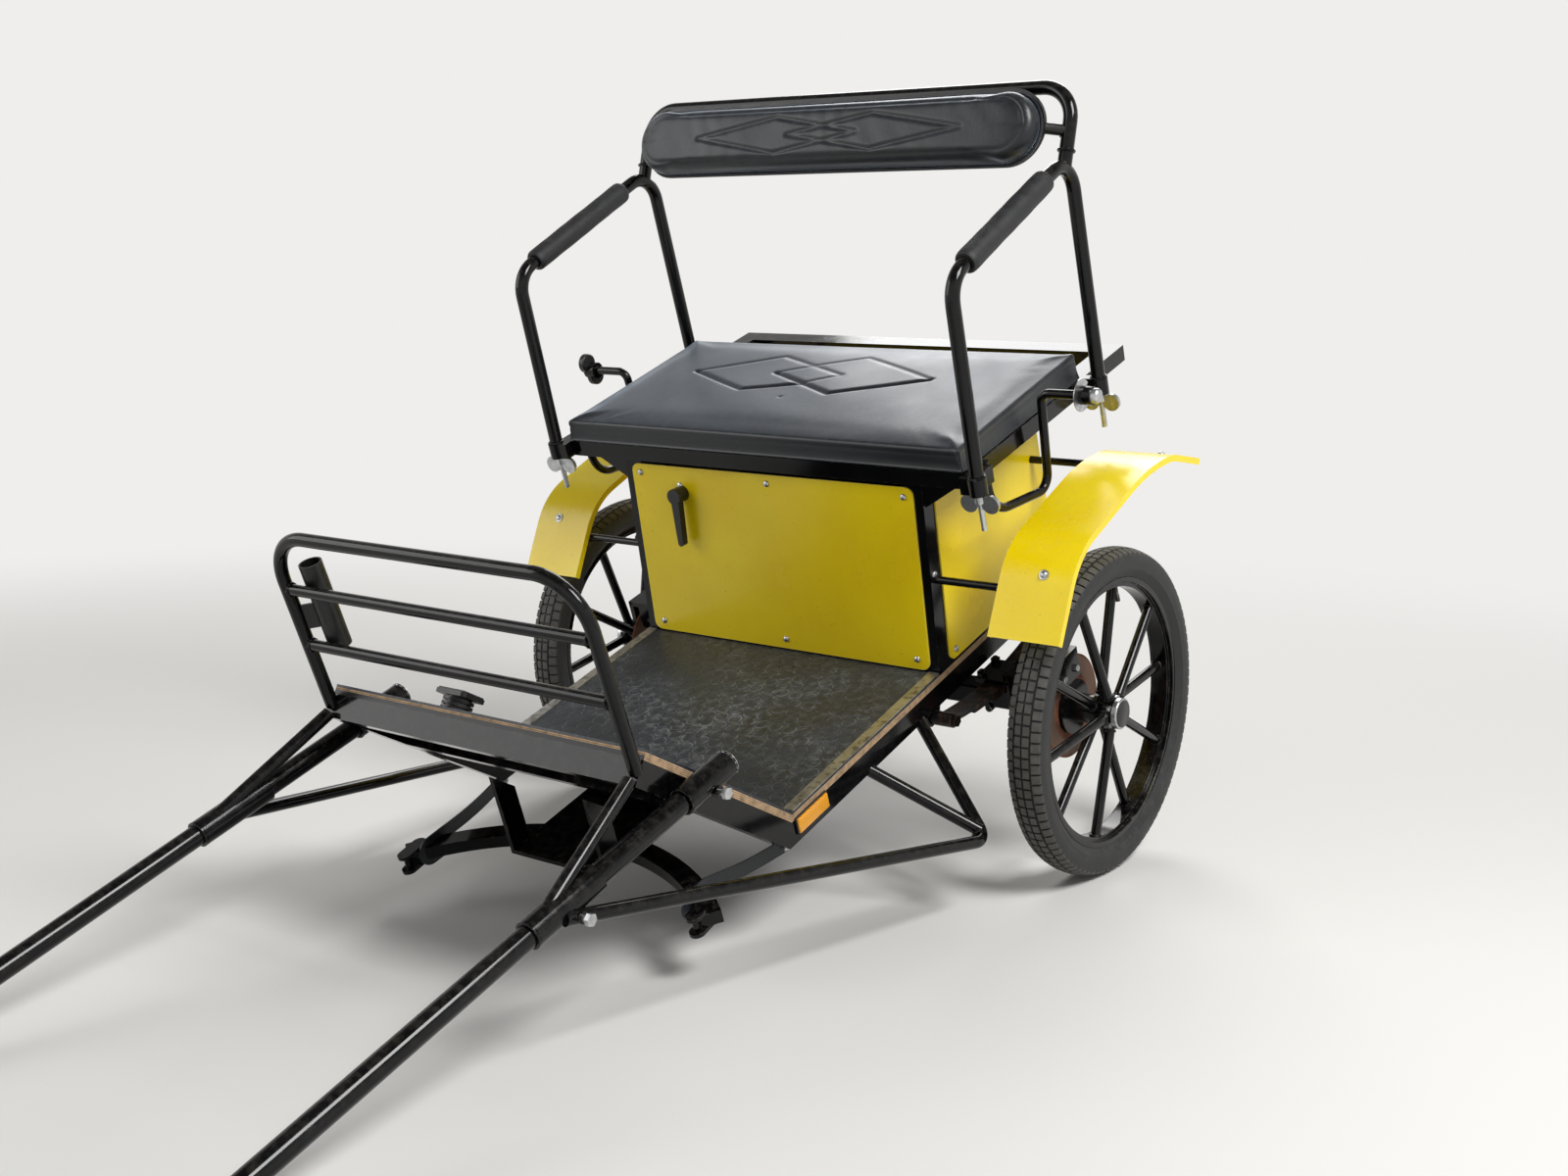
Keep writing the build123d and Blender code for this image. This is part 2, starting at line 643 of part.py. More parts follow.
def below_fender(corner, after, reach):
    """(y, z) of a stay below a straight of the fender, and of the sheet's underside above it."""
    run = Vector(*FENDER_CORNERS[after]) - Vector(*FENDER_CORNERS[corner])
    run = run.normalized()
    spot = Vector(*FENDER_CORNERS[corner]) + run * reach
    return [
        (spot.X + run.Y * depth, spot.Y - run.X * depth)
        for depth in (FENDER_FLANGE + STAY_DIAMETER / 2 + TOUCH, FENDER_SHEET + TOUCH)
    ]


stay_roots = (
    (FLOOR_HALF_WIDTH + TOUCH, below_fender(0, 1, STAY_FRONT_REACH)),
    (FLOOR_HALF_WIDTH + PANEL_THICKNESS + TOUCH, below_fender(2, 3, STAY_REAR_REACH)),
)
with BuildPart() as fender_stays:
    for side in (-1, 1):
        for root_x, ((stay_y, stay_z), (sheet_y, sheet_z)) in stay_roots:
            rod(
                [
                    at(root_x, stay_y, stay_z, side),
                    at(FENDER_X + STAY_END, stay_y, stay_z, side),
                ],
                STAY_DIAMETER,
            )
            rod(
                [at(FENDER_X, stay_y, stay_z, side), at(FENDER_X, sheet_y, sheet_z, side)],
                STAY_DIAMETER,
            )
pieces["fender_stays"] = fender_stays

# Axle beam with a spindle for each wheel, and half-elliptic leaf springs clamped on top of it
caliper_radius = DISC_DIAMETER / 2 - 14.0
beam_end = DISC_X - CALIPER_DEPTH
with BuildPart() as axle:
    with Locations((0, 0, AXLE_Z)):
        Box(2 * beam_end, AXLE_BEAM, AXLE_BEAM)
    fillet(axle.edges().filter_by(Axis.X), radius=AXLE_CORNER)
    for side in (-1, 1):
        rod(
            [at(beam_end, 0, AXLE_Z, side), at(HUB_X + HUB_LENGTH / 2 - 2.0, 0, AXLE_Z, side)],
            SPINDLE_DIAMETER,
        )
        with Locations((side * (beam_end + BRAKE_PLATE / 2), CALIPER_Y, AXLE_Z + caliper_radius / 2)):
            Box(BRAKE_PLATE, CALIPER_LENGTH, caliper_radius + AXLE_BEAM)
        with Locations((side * SPRING_X, 0, AXLE_Z + AXLE_BEAM / 2 + SPRING_SEAT / 2)):
            Box(SPRING_WIDTH, SPRING_SEAT_LENGTH, SPRING_SEAT)
pieces["axle"] = axle

spring_bottom = AXLE_Z + AXLE_BEAM / 2 + SPRING_SEAT + 4 * TOUCH
leaf_step = SPRING_LEAF * 0.98
half_span = SPRING_SPAN / 2
leaf_radius = (half_span**2 + SPRING_RISE**2) / (2 * SPRING_RISE)
leaf_angle = degrees(asin(half_span / leaf_radius))
leaf_z = spring_bottom + SPRING_LEAF / 2 + (len(SPRING_LEAVES) - 1) * leaf_step
eye_z = leaf_z + SPRING_RISE
for name, side in SIDES:
    with BuildPart() as spring:
        with BuildSketch(Plane.YZ.offset(side * SPRING_X - SPRING_WIDTH / 2)) as leaves:
            for layer, share in SPRING_LEAVES:
                swing = leaf_angle * share
                with BuildLine():
                    leaf = CenterArc(
                        (0, leaf_z + leaf_radius),
                        leaf_radius + layer * leaf_step,
                        270.0 - swing,
                        2 * swing,
                    )
                trace(leaf, line_width=SPRING_LEAF)
            with Locations((-half_span, eye_z), (half_span, eye_z)):
                Circle(SPRING_EYE / 2)
            with Locations((-half_span, eye_z), (half_span, eye_z)):
                Circle(EYE_BOLT / 2 + TOUCH, mode=Mode.SUBTRACT)
        extrude(leaves.sketch, amount=SPRING_WIDTH)
    pieces[f"leaf_spring_{name}"] = spring

# A plate on each spring, drawn down to the beam by two U-bolts
plate_z = leaf_z + SPRING_LEAF / 2 + (CLAMP_PLATE_SIZE / 2) ** 2 / (2 * leaf_radius) + TOUCH
leg_y = AXLE_BEAM / 2 + U_BOLT / 2 + 2 * TOUCH
with BuildPart() as spring_clamps:
    for side in (-1, 1):
        with Locations((side * SPRING_X, 0, plate_z + CLAMP_PLATE / 2)):
            Box(CLAMP_PLATE_SIZE, CLAMP_PLATE_SIZE, CLAMP_PLATE)
        for x in (SPRING_X - U_BOLT_SPREAD / 2, SPRING_X + U_BOLT_SPREAD / 2):
            low_z = AXLE_Z - AXLE_BEAM / 2 - U_BOLT / 2 - TOUCH
            nut_z = plate_z + CLAMP_PLATE
            top_z = nut_z + U_BOLT_NUT_HEIGHT + U_BOLT_END
            rod(
                [
                    at(x, -leg_y, top_z, side),
                    at(x, -leg_y, low_z, side),
                    at(x, leg_y, low_z, side),
                    at(x, leg_y, top_z, side),
                ],
                U_BOLT,
                U_BOLT_BEND,
            )
            for y in (-leg_y, leg_y):
                hexagon(at(x, y, nut_z, side), (0, 0, 1), U_BOLT_NUT, U_BOLT_NUT_HEIGHT)
pieces["spring_clamps"] = spring_clamps

with BuildPart() as spring_hangers:
    ear_x = SPRING_X - SPRING_WIDTH / 2 - 4 * TOUCH - EAR_THICKNESS
    for side in (-1, 1):
        for y in (-half_span, half_span):
            side_plate(
                [
                    (y - SPRING_EYE, FRAME_BOTTOM),
                    (y + SPRING_EYE, FRAME_BOTTOM),
                    (y + SPRING_EYE / 2, eye_z - SPRING_EYE / 2),
                    (y - SPRING_EYE / 2, eye_z - SPRING_EYE / 2),
                ],
                side * (ear_x + EAR_THICKNESS / 2) - EAR_THICKNESS / 2,
                EAR_THICKNESS,
            )
            head_x = SPRING_X + SPRING_WIDTH / 2 + 4 * TOUCH
            rod([at(ear_x, y, eye_z, side), at(head_x, y, eye_z, side)], EYE_BOLT)
            hexagon(at(head_x, y, eye_z, side), (side, 0, 0), EYE_BOLT_HEAD, EYE_BOLT_HEAD_HEIGHT)
pieces["spring_hangers"] = spring_hangers

# Wheels: tyre, rim with round-bar spokes on a flanged hub, brake disc and hub cap
spoke_root = HUB_FLANGE / 2 - 8.0
half_hub = HUB_LENGTH / 2
flange_inner = HUB_FLANGE_SET_OUT - HUB_FLANGE_SPREAD / 2
flange_outer = HUB_FLANGE_SET_OUT + HUB_FLANGE_SPREAD / 2
half_flange = HUB_FLANGE_THICKNESS / 2
# Half of the hub's section: (distance outboard of its middle, radius), from the brake's side
hub_section = (
    (-half_hub, SPINDLE_DIAMETER / 2 - 4.0),
    (-half_hub, CARRIER_DIAMETER / 2),
    (CARRIER_THICKNESS - half_hub, CARRIER_DIAMETER / 2),
    (CARRIER_THICKNESS - half_hub, HUB_BARREL / 2 + 4.0),
    (flange_inner - half_flange, HUB_BARREL / 2 + 4.0),
    (flange_inner - half_flange, HUB_FLANGE / 2),
    (flange_inner + half_flange, HUB_FLANGE / 2),
    (flange_inner + half_flange, HUB_BARREL / 2),
    (flange_outer - half_flange, HUB_BARREL / 2),
    (flange_outer - half_flange, HUB_FLANGE / 2),
    (flange_outer + half_flange, HUB_FLANGE / 2),
    (flange_outer + half_flange, HUB_DIAMETER / 2 - 3.0),
    (half_hub, HUB_DIAMETER / 2),
    (half_hub, SPINDLE_DIAMETER / 2 - 4.0),
)
for name, side in SIDES:
    wheel_plane = Plane(origin=(side * WHEEL_X, 0, AXLE_Z), x_dir=(0, 1, 0), z_dir=(1, 0, 0))
    section_plane = Plane(origin=(side * WHEEL_X, 0, AXLE_Z), x_dir=(1, 0, 0), z_dir=(0, -1, 0))
    wheel_axis = Axis((side * WHEEL_X, 0, AXLE_Z), (1, 0, 0))
    with BuildPart() as tyre:
        with BuildSketch(section_plane) as carcass:
            with BuildLine():
                bead = RIM_RADIUS + RIM_WALL
                half = RIM_WIDTH / 2 - RIM_WALL
                Polyline((-half, bead + 14.0), (-half, bead), (half, bead), (half, bead + 14.0))
                ThreePointArc(
                    (half, bead + 14.0),
                    (TYRE_WIDTH / 2, TYRE_RADIUS - TYRE_SECTION / 2 + 4.0),
                    (TYRE_WIDTH / 2 - 8.0, TYRE_RADIUS - 9.0),
                )
                ThreePointArc(
                    (TYRE_WIDTH / 2 - 8.0, TYRE_RADIUS - 9.0),
                    (0, TYRE_RADIUS),
                    (8.0 - TYRE_WIDTH / 2, TYRE_RADIUS - 9.0),
                )
                ThreePointArc(
                    (8.0 - TYRE_WIDTH / 2, TYRE_RADIUS - 9.0),
                    (-TYRE_WIDTH / 2, TYRE_RADIUS - TYRE_SECTION / 2 + 4.0),
                    (-half, bead + 14.0),
                )
            make_face()
        revolve(carcass.sketch, axis=wheel_axis)
    pieces[f"tyre_{name}"] = tyre

    with BuildPart() as wheel:
        with BuildSketch(section_plane) as rim:
            with Locations((0, RIM_RADIUS + RIM_WALL / 2 + 3.0)):
                Rectangle(RIM_WIDTH, RIM_WALL + 6.0)
            with Locations((0, RIM_RADIUS - RIM_WALL)):
                Rectangle(RIM_WIDTH - 16.0, 2 * RIM_WALL)
            with Locations((0, RIM_RADIUS + RIM_WALL + 6.0)):
                Rectangle(RIM_WIDTH - 2 * RIM_WALL, 12.0, mode=Mode.SUBTRACT)
            fillet(
                [
                    corner
                    for corner in rim.vertices()
                    if corner.Y < RIM_RADIUS + RIM_WALL - 1.0 or abs(corner.X) > RIM_WIDTH / 2 - 1.0
                ],
                radius=RIM_EDGE,
            )
        revolve(rim.sketch, axis=wheel_axis)
        with BuildSketch(section_plane) as hub:
            with BuildLine():
                Polyline(*[(side * (u - HUB_SET_IN), r) for u, r in hub_section], close=True)
            make_face()
        revolve(hub.sketch, axis=wheel_axis)
        for i in range(SPOKE_COUNT):
            turn = radians(SPOKE_START + 360.0 / SPOKE_COUNT * i)
            flange = side * (flange_outer if i % 2 else flange_inner)
            tip = side * 6.0 * (1 if i % 2 else -1)
            reach = RIM_RADIUS - 2 * RIM_WALL + 3.0
            rod(
                [
                    (
                        side * HUB_X + flange,
                        spoke_root * cos(turn),
                        AXLE_Z + spoke_root * sin(turn),
                    ),
                    (side * WHEEL_X + tip, reach * cos(turn), AXLE_Z + reach * sin(turn)),
                ],
                SPOKE_DIAMETER,
            )
        with BuildSketch(wheel_plane.offset(-HUB_LENGTH)) as bore:
            Circle(SPINDLE_DIAMETER / 2 + SLEEVE_FIT)
        extrude(bore.sketch, amount=2 * HUB_LENGTH, mode=Mode.SUBTRACT)
    pieces[f"wheel_{name}"] = wheel

    with BuildPart() as disc:
        with BuildSketch(wheel_plane.offset(side * (DISC_X - WHEEL_X) - DISC_THICKNESS / 2)) as plate:
            Circle(DISC_DIAMETER / 2)
            Circle(DISC_BORE / 2, mode=Mode.SUBTRACT)
        extrude(plate.sketch, amount=DISC_THICKNESS)
    pieces[f"brake_disc_{name}"] = disc

    with BuildPart() as cap:
        cap_inner = side * (half_hub - HUB_SET_IN)
        with BuildSketch(wheel_plane.offset(cap_inner)) as rim_disc:
            Circle(HUB_CAP_DIAMETER / 2)
        extrude(rim_disc.sketch, amount=side * HUB_CAP_HEIGHT)
        crown = cap.faces().sort_by(Axis.X)[-1 if side > 0 else 0]
        fillet(crown.edges(), radius=HUB_CAP_CROWN)
    pieces[f"hub_cap_{name}"] = cap

    with BuildPart() as caliper:
        inner_face = DISC_X - DISC_THICKNESS / 2 - PAD_GAP
        outer_face = DISC_X + DISC_THICKNESS / 2 + PAD_GAP
        plate_face = beam_end + BRAKE_PLATE + TOUCH
        for near_x, far_x in ((plate_face, inner_face), (outer_face, outer_face + 10.0)):
            with Locations((side * (near_x + far_x) / 2, CALIPER_Y, AXLE_Z + caliper_radius)):
                Box(far_x - near_x, CALIPER_LENGTH, CALIPER_HEIGHT)
        bridge_z = AXLE_Z + caliper_radius + CALIPER_HEIGHT / 2 + 5.0
        with Locations((side * (plate_face + outer_face + 10.0) / 2, CALIPER_Y, bridge_z)):
            Box(outer_face + 10.0 - plate_face, CALIPER_LENGTH, 10.0)
    pieces[f"brake_caliper_{name}"] = caliper

# Dashboard rail: a hoop of tube with two cross bars, standing on the head of the toe board
rail_middle = FRAME_TOP - RAIL_DEPTH / 2
dash_foot_z = TOE_TOP_Z + rail_middle * cos(radians(TOE_ANGLE))
dash_foot_y = TOE_TOP_Y + rail_middle * sin(radians(TOE_ANGLE))


def dash_y(z):
    """Y of the dashboard rail at a height above the floor."""
    return dash_foot_y - (z - dash_foot_z) * tan(radians(DASH_LEAN))


def trim_to_rails():
    """Cuts the piece in hand off where it meets the platform's rails."""
    for side in (-1, 1):
        side_plate(
            floor_outline(
                BOARD_THICKNESS + MAT_THICKNESS - TOUCH,
                RAIL_DEPTH + 2 * TOUCH,
                BOX_REAR_Y,
                TOE_LENGTH + TOUCH,
            ),
            side * RAIL_X - RAIL_WIDTH / 2 - TOUCH,
            RAIL_WIDTH + 2 * TOUCH,
            mode=Mode.SUBTRACT,
        )


with BuildPart() as dash_rail:
    rod(
        [
            (-DASH_HALF_WIDTH, dash_foot_y, dash_foot_z),
            (-DASH_HALF_WIDTH, dash_y(DASH_TOP_HEIGHT), DASH_TOP_HEIGHT),
            (DASH_HALF_WIDTH, dash_y(DASH_TOP_HEIGHT), DASH_TOP_HEIGHT),
            (DASH_HALF_WIDTH, dash_foot_y, dash_foot_z),
        ],
        DASH_TUBE,
        DASH_BEND,
    )
    for z in DASH_BARS:
        rod([(-DASH_HALF_WIDTH, dash_y(z), z), (DASH_HALF_WIDTH, dash_y(z), z)], DASH_BAR)
    trim_to_rails()
pieces["dash_rail"] = dash_rail

with BuildPart() as whip_holder:
    whip_set_back = DASH_BAR / 2 + WHIP_TUBE / 2 + TOUCH
    whip_foot = WHIP_TOP - WHIP_LENGTH
    rod(
        [
            (WHIP_X, dash_y(whip_foot) + whip_set_back, whip_foot),
            (WHIP_X, dash_y(WHIP_TOP) + whip_set_back, WHIP_TOP),
        ],
        WHIP_TUBE,
    )
    web_z = whip_foot + WHIP_WEB_LIFT + WHIP_WEB_HEIGHT / 2
    web_turn = degrees(atan2(whip_set_back, WHIP_X + DASH_HALF_WIDTH))
    web_middle = (
        (WHIP_X - DASH_HALF_WIDTH) / 2,
        dash_y(web_z) + whip_set_back / 2,
        web_z,
    )
    with Locations(Location(web_middle, (0, 0, web_turn))):
        Box(hypot(whip_set_back, WHIP_X + DASH_HALF_WIDTH), WHIP_WEB_THICKNESS, WHIP_WEB_HEIGHT)
    rod(
        [
            (-DASH_HALF_WIDTH, dash_y(whip_foot), whip_foot),
            (-DASH_HALF_WIDTH, dash_y(WHIP_TOP), WHIP_TOP),
        ],
        DASH_TUBE + 2 * TOUCH,
        mode=Mode.SUBTRACT,
    )
    rod(
        [
            (WHIP_X, dash_y(whip_foot + WHIP_WALL) + whip_set_back, whip_foot + WHIP_WALL),
            (WHIP_X, dash_y(WHIP_TOP + WHIP_WALL) + whip_set_back, WHIP_TOP + WHIP_WALL),
        ],
        WHIP_TUBE - 2 * WHIP_WALL,
        mode=Mode.SUBTRACT,
    )
pieces["whip_holder"] = whip_holder

# Shaft mounts: a sleeve beside the toe board, and one ahead of it at the meeting of the
# brace from the dashboard and the guard bar that runs back in front of the wheel
shaft_z = SHAFT_HEIGHT
front_sleeve_end = FRONT_SLEEVE_START_Y - FRONT_SLEEVE_LENGTH
bore_radius = SHAFT_DIAMETER / 2 + SLEEVE_FIT


def sleeve(x, y_rear, length):
    """A tube along the shaft, bored to take it."""
    with BuildSketch(Plane(origin=(x, y_rear, shaft_z), x_dir=(1, 0, 0), z_dir=(0, -1, 0))) as ring:
        Circle(SLEEVE_DIAMETER / 2)
    extrude(ring.sketch, amount=length)


def sleeve_bore(x):
    """Clears the shaft's way through everything that carries it."""
    start = (x, SHAFT_REAR_Y + BORE_OVERRUN, shaft_z)
    with BuildSketch(Plane(origin=start, x_dir=(1, 0, 0), z_dir=(0, -1, 0))) as hole:
        Circle(bore_radius)
    run = SHAFT_REAR_Y - front_sleeve_end + 2 * BORE_OVERRUN
    extrude(hole.sketch, amount=run, mode=Mode.SUBTRACT)


def screw_boss(y, reach, side):
    """The boss that a clamping screw threads into, welded to the outside of a sleeve."""
    z = shaft_z - SCREW_DROP
    rod([at(SHAFT_X, y, z, side), at(SHAFT_X + reach, y, z, side)], SCREW_BOSS)


for name, side in SIDES:
    x = side * SHAFT_X
    with BuildPart() as socket:
        sleeve(x, SHAFT_REAR_Y, REAR_SLEEVE_LENGTH)
        screw_boss(*SHAFT_SCREWS[0][1:], side)
        sleeve_bore(x)
    pieces[f"shaft_socket_{name}"] = socket

    with BuildPart() as guard:
        sleeve(x, FRONT_SLEEVE_START_Y, FRONT_SLEEVE_LENGTH)
        screw_boss(*SHAFT_SCREWS[1][1:], side)
        dash_foot = Vector(DASH_HALF_WIDTH, dash_foot_y, dash_foot_z)
        front_sleeve = Vector(SHAFT_X, FRONT_SLEEVE_START_Y, shaft_z)
        brace_ends = (dash_foot + Vector(*BRACE_FOOT), front_sleeve + Vector(*BRACE_HEAD))
        guard_head = front_sleeve + Vector(*GUARD_HEAD)
        brace_head = Vector(*GUARD_BEND_POINT) + Vector(*GUARD_BRACE_HEAD)
        rod([at(end.X, end.Y, end.Z, side) for end in brace_ends], GUARD_TUBE)
        rod(
            [
                at(guard_head.X, guard_head.Y, guard_head.Z, side),
                at(*GUARD_BEND_POINT, side),
                at(RAIL_X, GUARD_REAR_Y, FRAME_BOTTOM + GUARD_WELD, side),
            ],
            GUARD_TUBE,
            GUARD_BEND,
        )
        rod(
            [
                at(RAIL_X, GUARD_BRACE_Y, FRAME_BOTTOM + GUARD_WELD, side),
                at(brace_head.X, brace_head.Y, brace_head.Z, side),
            ],
            GUARD_TUBE,
        )
        sleeve_bore(x)
        trim_to_rails()
    pieces[f"guard_bar_{name}"] = guard

    with BuildPart() as shaft:
        rise = radians(SHAFT_RISE_ANGLE)
        level = radians(SHAFT_LEVEL_ANGLE)
        knee = SHAFT_BEND_RADIUS * tan(rise / 2)
        heel = SHAFT_BEND_RADIUS * tan((rise - level) / 2)
        rising = knee + SHAFT_RISE_LENGTH + heel
        tip = heel + SHAFT_TIP_LENGTH
        knee_y = SHAFT_BEND_Y - knee
        heel_y = knee_y - rising * cos(rise)
        heel_z = shaft_z + rising * sin(rise)
        rod(
            [
                (x, SHAFT_REAR_Y, shaft_z),
                (x, knee_y, shaft_z),
                (x, heel_y, heel_z),
                (x, heel_y - tip * cos(level), heel_z + tip * sin(level)),
            ],
            SHAFT_DIAMETER,
            SHAFT_BEND_RADIUS,
        )
    pieces[f"shaft_{name}"] = shaft

# Swingletree: a bowed bar that swings on a bolt below the hanger plate under the toe board
hanger_top = FRAME_TOP - RAIL_DEPTH / 2
swing_z = hanger_top - HANGER_PLATE - 2 * TOUCH
cross_front = FOLD_Y + RAIL_WIDTH / 2
cross_under_y = TOE_TOP_Y + TOE_CROSS_REACH * cos(radians(TOE_ANGLE))
cross_under_y += FRAME_BOTTOM * sin(radians(TOE_ANGLE))
cross_under_z = TOE_TOP_Z - TOE_CROSS_REACH * sin(radians(TOE_ANGLE))
cross_under_z += FRAME_BOTTOM * cos(radians(TOE_ANGLE))
hanger_front = cross_under_y - HANGER_FLAT / 2
with BuildPart() as swingletree_hanger:
    with Locations((0, (cross_front + hanger_front) / 2, hanger_top - HANGER_PLATE / 2)):
        Box(2 * HANGER_X, cross_front - hanger_front, HANGER_PLATE)
    for side in (-1, 1):
        side_plate(
            [
                (cross_under_y - HANGER_FLAT / 2, hanger_top - HANGER_PLATE),
                (cross_under_y + HANGER_FLAT / 2, hanger_top - HANGER_PLATE),
                (cross_under_y + HANGER_FLAT / 2, cross_under_z),
                (cross_under_y - HANGER_FLAT / 2, cross_under_z),
            ],
            side * HANGER_X - HANGER_PLATE / 2,
            HANGER_PLATE,
        )
    with BuildSketch(toe_plane.offset(FRAME_BOTTOM - RAIL_DEPTH / 2)) as clear:
        with Locations((0, TOE_CROSS_REACH)):
            Rectangle(4 * HANGER_X, 3 * RAIL_DEPTH)
    extrude(clear.sketch, amount=RAIL_DEPTH, mode=Mode.SUBTRACT)
    nut_z = swing_z - SWINGLETREE_THICKNESS - SLEEVE_FIT - PIVOT_NUT_HEIGHT / 2
    bolt_bottom = nut_z - PIVOT_NUT_HEIGHT
    with Locations((0, SWINGLETREE_PIVOT_Y, (hanger_top + PIVOT_NUT_HEIGHT + bolt_bottom) / 2)):
        Cylinder(PIVOT_BOLT / 2, hanger_top + PIVOT_NUT_HEIGHT - bolt_bottom)
    with Locations((0, SWINGLETREE_PIVOT_Y, nut_z)):
        Cylinder(PIVOT_NUT / 2, PIVOT_NUT_HEIGHT)
pieces["swingletree_hanger"] = swingletree_hanger

bow_half = SWINGLETREE_LENGTH / 2
bow_radius = (bow_half**2 + SWINGLETREE_SWEEP**2) / (2 * SWINGLETREE_SWEEP)
pin_x = bow_half - SHACKLE_INSET
pin_y = sqrt(bow_radius**2 - pin_x**2) - bow_radius
bar_plane = Plane(
    origin=(0, SWINGLETREE_PIVOT_Y, swing_z),
    x_dir=(cos(radians(SWINGLETREE_TURN)), sin(radians(SWINGLETREE_TURN)), 0),
    z_dir=(0, 0, 1),
)
with BuildPart() as swingletree:
    with BuildSketch(bar_plane) as bow:
        with BuildLine():
            arc = ThreePointArc(
                (-bow_half, -SWINGLETREE_SWEEP), (0, 0), (bow_half, -SWINGLETREE_SWEEP)
            )
        trace(arc, line_width=SWINGLETREE_HEIGHT)
        Circle(PIVOT_BOLT / 2 + SLEEVE_FIT, mode=Mode.SUBTRACT)
        with Locations((-pin_x, pin_y), (pin_x, pin_y)):
            Circle(SHACKLE_PIN / 2 + TOUCH, mode=Mode.SUBTRACT)
    extrude(bow.sketch, amount=-SWINGLETREE_THICKNESS)
pieces["swingletree"] = swingletree

with BuildPart() as trace_shackles:
    for side in (-1, 1):
        for start, grow in ((TOUCH, 1), (-SWINGLETREE_THICKNESS - TOUCH, -1)):
            with BuildSketch(bar_plane.offset(start)) as cheek:
                with Locations((side * pin_x, pin_y - SHACKLE_LENGTH / 2 + SHACKLE_WIDTH / 2)):
                    SlotOverall(SHACKLE_LENGTH, SHACKLE_WIDTH, rotation=90)
            extrude(cheek.sketch, amount=grow * SHACKLE_PLATE)
        for reach in (0.0, SHACKLE_LENGTH - SHACKLE_WIDTH):
            with BuildSketch(bar_plane.offset(TOUCH + SHACKLE_PLATE)) as pin:
                with Locations((side * pin_x, pin_y - reach)):
                    Circle(SHACKLE_PIN / 2)
            extrude(pin.sketch, amount=-SWINGLETREE_THICKNESS - 2 * (SHACKLE_PLATE + TOUCH))
pieces["trace_shackles"] = trace_shackles

# Lamp brackets: a rod that loops below the seat frame and turns out beside the cushion
loop_z = BOX_HEIGHT - LAMP_LOOP_DROP
loop_front_x = SEAT_HALF_WIDTH + LAMP_ROD / 2 + TOUCH
with BuildPart() as lamp_brackets:
    for side in (-1, 1):
        rod(
            [
                at(loop_front_x, LAMP_ROD_Y - LAMP_LOOP_LENGTH, SEAT_RAIL_TOP, side),
                at(loop_front_x, LAMP_ROD_Y - LAMP_LOOP_LENGTH, loop_z + LAMP_LOOP_LIFT, side),
                at(LAMP_LEG_X, LAMP_ROD_Y, loop_z, side),
                at(LAMP_ROD_X, LAMP_ROD_Y, LAMP_ROD_HEIGHT, side),
                at(LAMP_ROD_X + LAMP_ROD_REACH, LAMP_ROD_Y, LAMP_ROD_HEIGHT, side),
            ],
            LAMP_ROD,
            LAMP_ROD_BENDS,
        )
pieces["lamp_brackets"] = lamp_brackets

toe_surface = Plane(origin=(0, FOLD_Y, 0), x_dir=(1, 0, 0), z_dir=toe_plane.z_dir)
boot_height = BOOT_RIBS * (BOOT_RIB + BOOT_GAP)
# Layers of the bellows boot: (height above the mat, diameter, thickness)
boot_layers = [(TOUCH, BOOT_NECK, boot_height - TOUCH)]
boot_layers += [
    (max(i * (BOOT_RIB + BOOT_GAP), TOUCH), BOOT_DIAMETER, BOOT_RIB) for i in range(BOOT_RIBS)
]
with BuildPart() as brake_pedal:
    for height, diameter, thickness in boot_layers:
        with BuildSketch(toe_surface.offset(height)) as layer:
            with Locations((PEDAL_X, -PEDAL_REACH)):
                Circle(diameter / 2)
        extrude(layer.sketch, amount=thickness)
    with BuildSketch(toe_surface.offset(boot_height)) as plate:
        with Locations((PEDAL_X, -PEDAL_REACH)):
            RectangleRounded(PEDAL_WIDTH, PEDAL_LENGTH, PEDAL_PLATE)
    extrude(plate.sketch, amount=PEDAL_PLATE)
pieces["brake_pedal"] = brake_pedal

# Clamping screws: hexagon-headed ones in the shafts' bosses, winged ones below the seat's lugs
with BuildPart() as shaft_screws:
    for side in (-1, 1):
        for place, y, reach in SHAFT_SCREWS:
            z = shaft_z - SCREW_DROP
            start = SHAFT_X + reach + TOUCH
            rod([at(start, y, z, side), at(start + SCREW_SHANK, y, z, side)], SCREW_DIAMETER)
            hexagon(
                at(start + SCREW_SHANK, y, z, side), (side, 0, 0), SCREW_HEAD, SCREW_HEAD_HEIGHT
            )
pieces["shaft_screws"] = shaft_screws

with BuildPart() as seat_screws:
    for side in (-1, 1):
        for y in (ARM_FOOT_Y, ARM_REAR_Y):
            top = BOX_HEIGHT - 4 * TOUCH
            rod([at(ARM_X, y, top, side), at(ARM_X, y, top - WING_STUD_LENGTH, side)], WING_STUD)
            rod([at(ARM_X, y, top, side), at(ARM_X, y, top - WING_HUB_HEIGHT, side)], WING_HUB)
            for x in (ARM_X - WING_REACH, ARM_X + WING_REACH):
                z = top - WING_DIAMETER / 2
                rod(
                    [
                        at(x, y - WING_THICKNESS / 2, z, side),
                        at(x, y + WING_THICKNESS / 2, z, side),
                    ],
                    WING_DIAMETER,
                )
pieces["seat_screws"] = seat_screws

